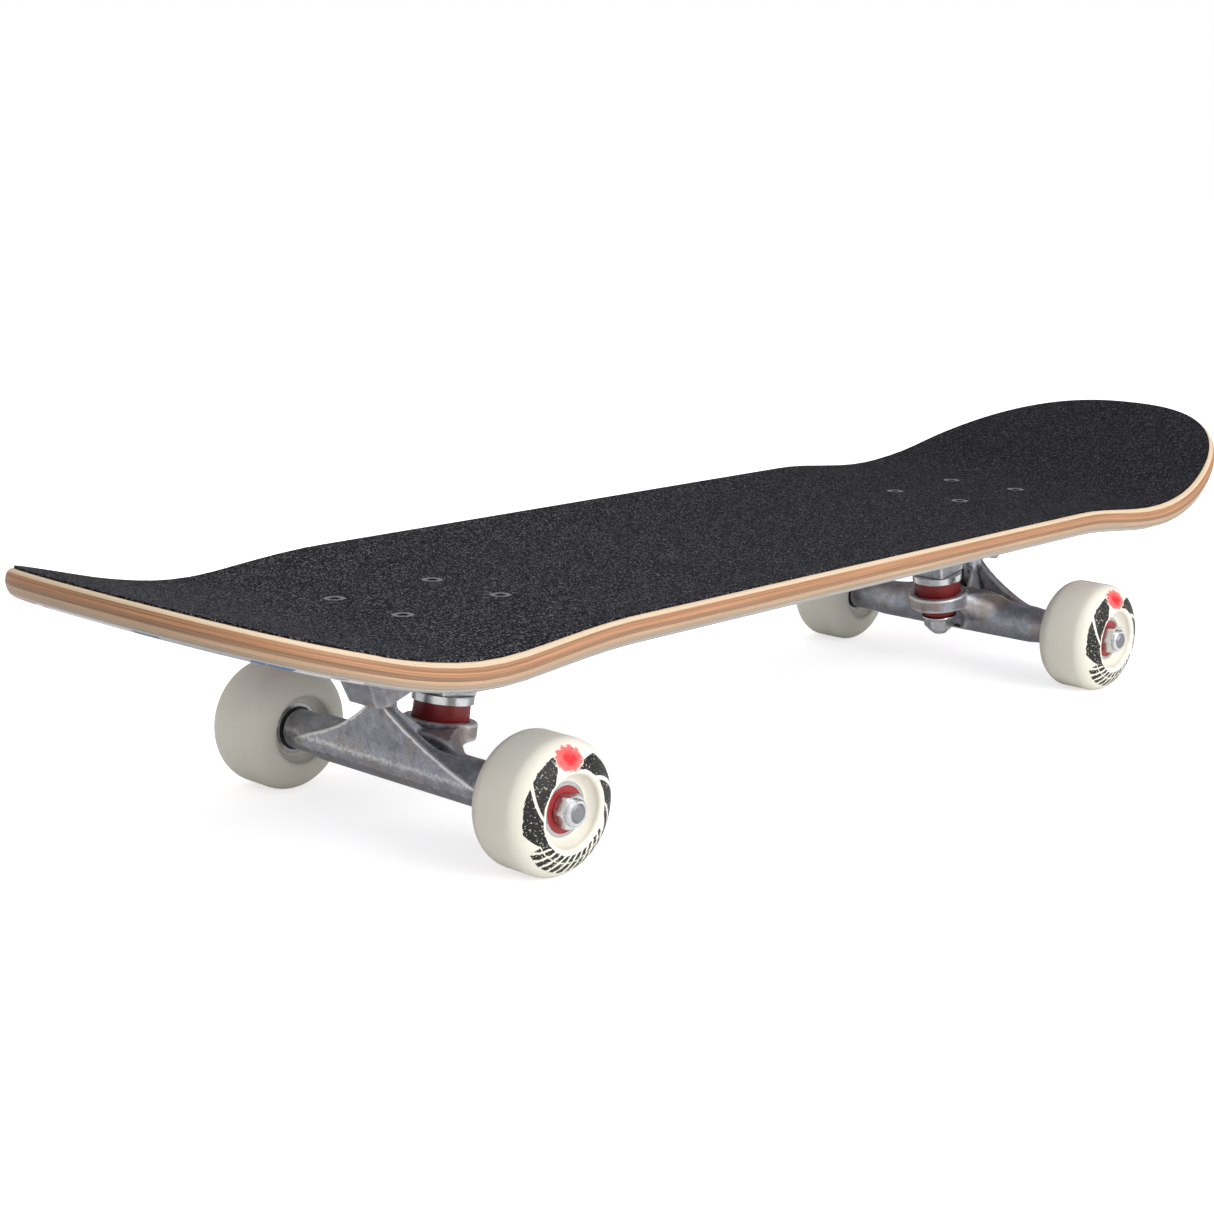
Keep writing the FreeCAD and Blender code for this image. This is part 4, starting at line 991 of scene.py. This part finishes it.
# The profile of each bushing, and where it starts along the kingpin from the ring.
BUSHINGS = {
    "boardside": (bushing_profile(12.0, 12.0, 11.7, 1.0), 1.5),
    "roadside": (bushing_profile(11.5, 8.6, 7.5, 3.4), -9.0),
}
BUSHING_POINTS = 96
UP = Vector((0, 0, 1))

urethane = wheel_look()
red_urethane = bushing_look()
wheel_shape = wheel_mesh()
for end in TRUCKS:
    for side, way in (("left", 1), ("right", -1)):
        wheel = make_object(f"{end}_{side}_tyre", *wheel_shape, urethane)
        middle = middle_of(f"{end}_{side}_wheel")
        out = Vector((0, way, 0))
        wheel.matrix_world = Matrix.Translation(Vector(middle * MM)) @ Matrix(
            (UP.cross(out), UP, out)).transposed().to_4x4()
        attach(wheel, f"{end}_{side}_rolling_wheel")
        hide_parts(f"{end}_{side}_wheel")
    to_ring = truck_matrix(end) @ Matrix.Translation(Vector(RING) * MM) @ Matrix.Rotation(
        math.radians(KINGPIN_LEAN), 4, "Y")
    for kind, (profile, start) in BUSHINGS.items():
        points = turned_points(profile, BUSHING_POINTS) + np.array([0, 0, start])
        faces = [tuple(reversed(face)) for face in ring_faces(len(profile), BUSHING_POINTS)]
        bushing = make_object(f"{end}_{kind}_ring", points, faces, red_urethane)
        bushing.matrix_world = to_ring
        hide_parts(f"{end}_{kind}_bushing")
        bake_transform(bushing)
    dish = washer_profile()
    washer = make_object(f"{end}_foot_washer", turned_points(dish, BUSHING_POINTS),
                         ring_faces(len(dish), BUSHING_POINTS), zinc)
    washer.matrix_world = to_ring
    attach(washer, "deck")
    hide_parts(f"{end}_small_cup_washer")


# ---------------------------------------------------------------- room

def make_floor():
    """A wide pale floor that shows as white to the camera except where the shadow falls."""
    look = Look("floor", Roughness=0.9)
    grain = look.noise(3.0)
    rays = look.node("ShaderNodeLightPath", out="Is Camera Ray")
    look.finish(Base_Color=look.mix(grain, (0.86, 0.86, 0.86), (0.88, 0.88, 0.88)),
                Emission_Color=(1, 1, 1, 1), Emission_Strength=look.times(rays, 0.62))

    # Seen from below it is clear, so that the underside can be looked at.
    behind = look.node("ShaderNodeNewGeometry", out="Backfacing")
    clear = look.node("ShaderNodeBsdfTransparent", out="BSDF")
    both = look.node("ShaderNodeMixShader", {0: behind, 1: look.shader.outputs[0], 2: clear})
    look.feed(look.tree.nodes["Material Output"].inputs["Surface"], both)
    low, high = -6000, 9000
    floor = make_object("floor", [(low, low, 0), (high, low, 0), (high, high, 0), (low, high, 0)],
                        [(0, 1, 2, 3)], look.material, smooth=False)


def add_area(name, place, target, size, power):
    """A square lamp, sized in metres, that faces a target."""
    light = bpy.data.lights.new(name, "AREA")
    light.size = size
    light.energy = power
    thing = bpy.data.objects.new(name, light)
    bpy.context.scene.collection.objects.link(thing)
    thing.location = place
    thing.rotation_euler = (Vector(target) - Vector(place)).to_track_quat("-Z", "Y").to_euler()


def set_world():
    """Plain white to the camera; soft light that is stronger from one side for everything else."""
    world = bpy.context.scene.world or bpy.data.worlds.new("studio")
    bpy.context.scene.world = world
    world.use_nodes = True
    tree = world.node_tree
    tree.nodes.clear()
    direction = tree.nodes.new("ShaderNodeTexCoord").outputs["Generated"]
    rays = tree.nodes.new("ShaderNodeLightPath")

    def lean_to(way):
        """How far the direction leans to one way."""
        lean = tree.nodes.new("ShaderNodeVectorMath")
        lean.operation = "DOT_PRODUCT"
        tree.links.new(direction, lean.inputs[0])
        lean.inputs[1].default_value = way
        return lean.outputs["Value"]

    soft = tree.nodes.new("ShaderNodeMath")
    soft.operation = "ADD"
    tree.links.new(lean_to((0.05, -0.24, 0.08)), soft.inputs[0])
    soft.inputs[1].default_value = 0.56

    # Reflections see a bright card above and to the left, and a darker room elsewhere.
    card = tree.nodes.new("ShaderNodeMapRange")
    tree.links.new(lean_to(Vector((-0.55, -0.25, 0.8)).normalized()), card.inputs["Value"])
    for key, value in {"From Min": -0.1, "From Max": 0.85, "To Min": 0.22, "To Max": 1.35}.items():
        card.inputs[key].default_value = value
    mirrored = tree.nodes.new("ShaderNodeMix")
    tree.links.new(rays.outputs["Is Glossy Ray"], mirrored.inputs["Factor"])
    tree.links.new(soft.outputs[0], mirrored.inputs[2])
    tree.links.new(card.outputs[0], mirrored.inputs[3])
    strength = tree.nodes.new("ShaderNodeMix")
    tree.links.new(rays.outputs["Is Camera Ray"], strength.inputs["Factor"])
    tree.links.new(mirrored.outputs[0], strength.inputs[2])
    strength.inputs[3].default_value = 1.0
    background = tree.nodes.new("ShaderNodeBackground")
    background.inputs["Color"].default_value = (1, 1, 1, 1)
    tree.links.new(strength.outputs[0], background.inputs["Strength"])
    tree.links.new(background.outputs[0], tree.nodes.new("ShaderNodeOutputWorld").inputs[0])


def set_camera():
    """The camera, placed in metres."""
    camera = bpy.data.cameras.new("camera")
    camera.lens = 63.934
    camera.sensor_width = 36
    camera.sensor_fit = "HORIZONTAL"
    camera.clip_start = 0.05
    camera.clip_end = 50
    thing = bpy.data.objects.new("camera", camera)
    bpy.context.scene.collection.objects.link(thing)
    place = (-0.792602, -0.639872, 0.285396)
    right = Vector((0.678156, -0.734764, 0.015071))
    up = Vector((0.150251, 0.158690, 0.975829))
    back = right.cross(up).normalized()
    up = back.cross(right).normalized()
    thing.matrix_world = Matrix.Translation(place) @ Matrix(
        (right.normalized(), up, back)).transposed().to_4x4()
    bpy.context.scene.camera = thing


make_floor()
set_world()
set_camera()
LIT = (0, 0, 0.05)
add_area("key", (0.1, -0.1, 1.8), LIT, 1.3, 20)
add_area("side", (0.1, -1.7, 0.8), LIT, 1.2, 20)
bpy.context.scene.view_settings.view_transform = "Standard"
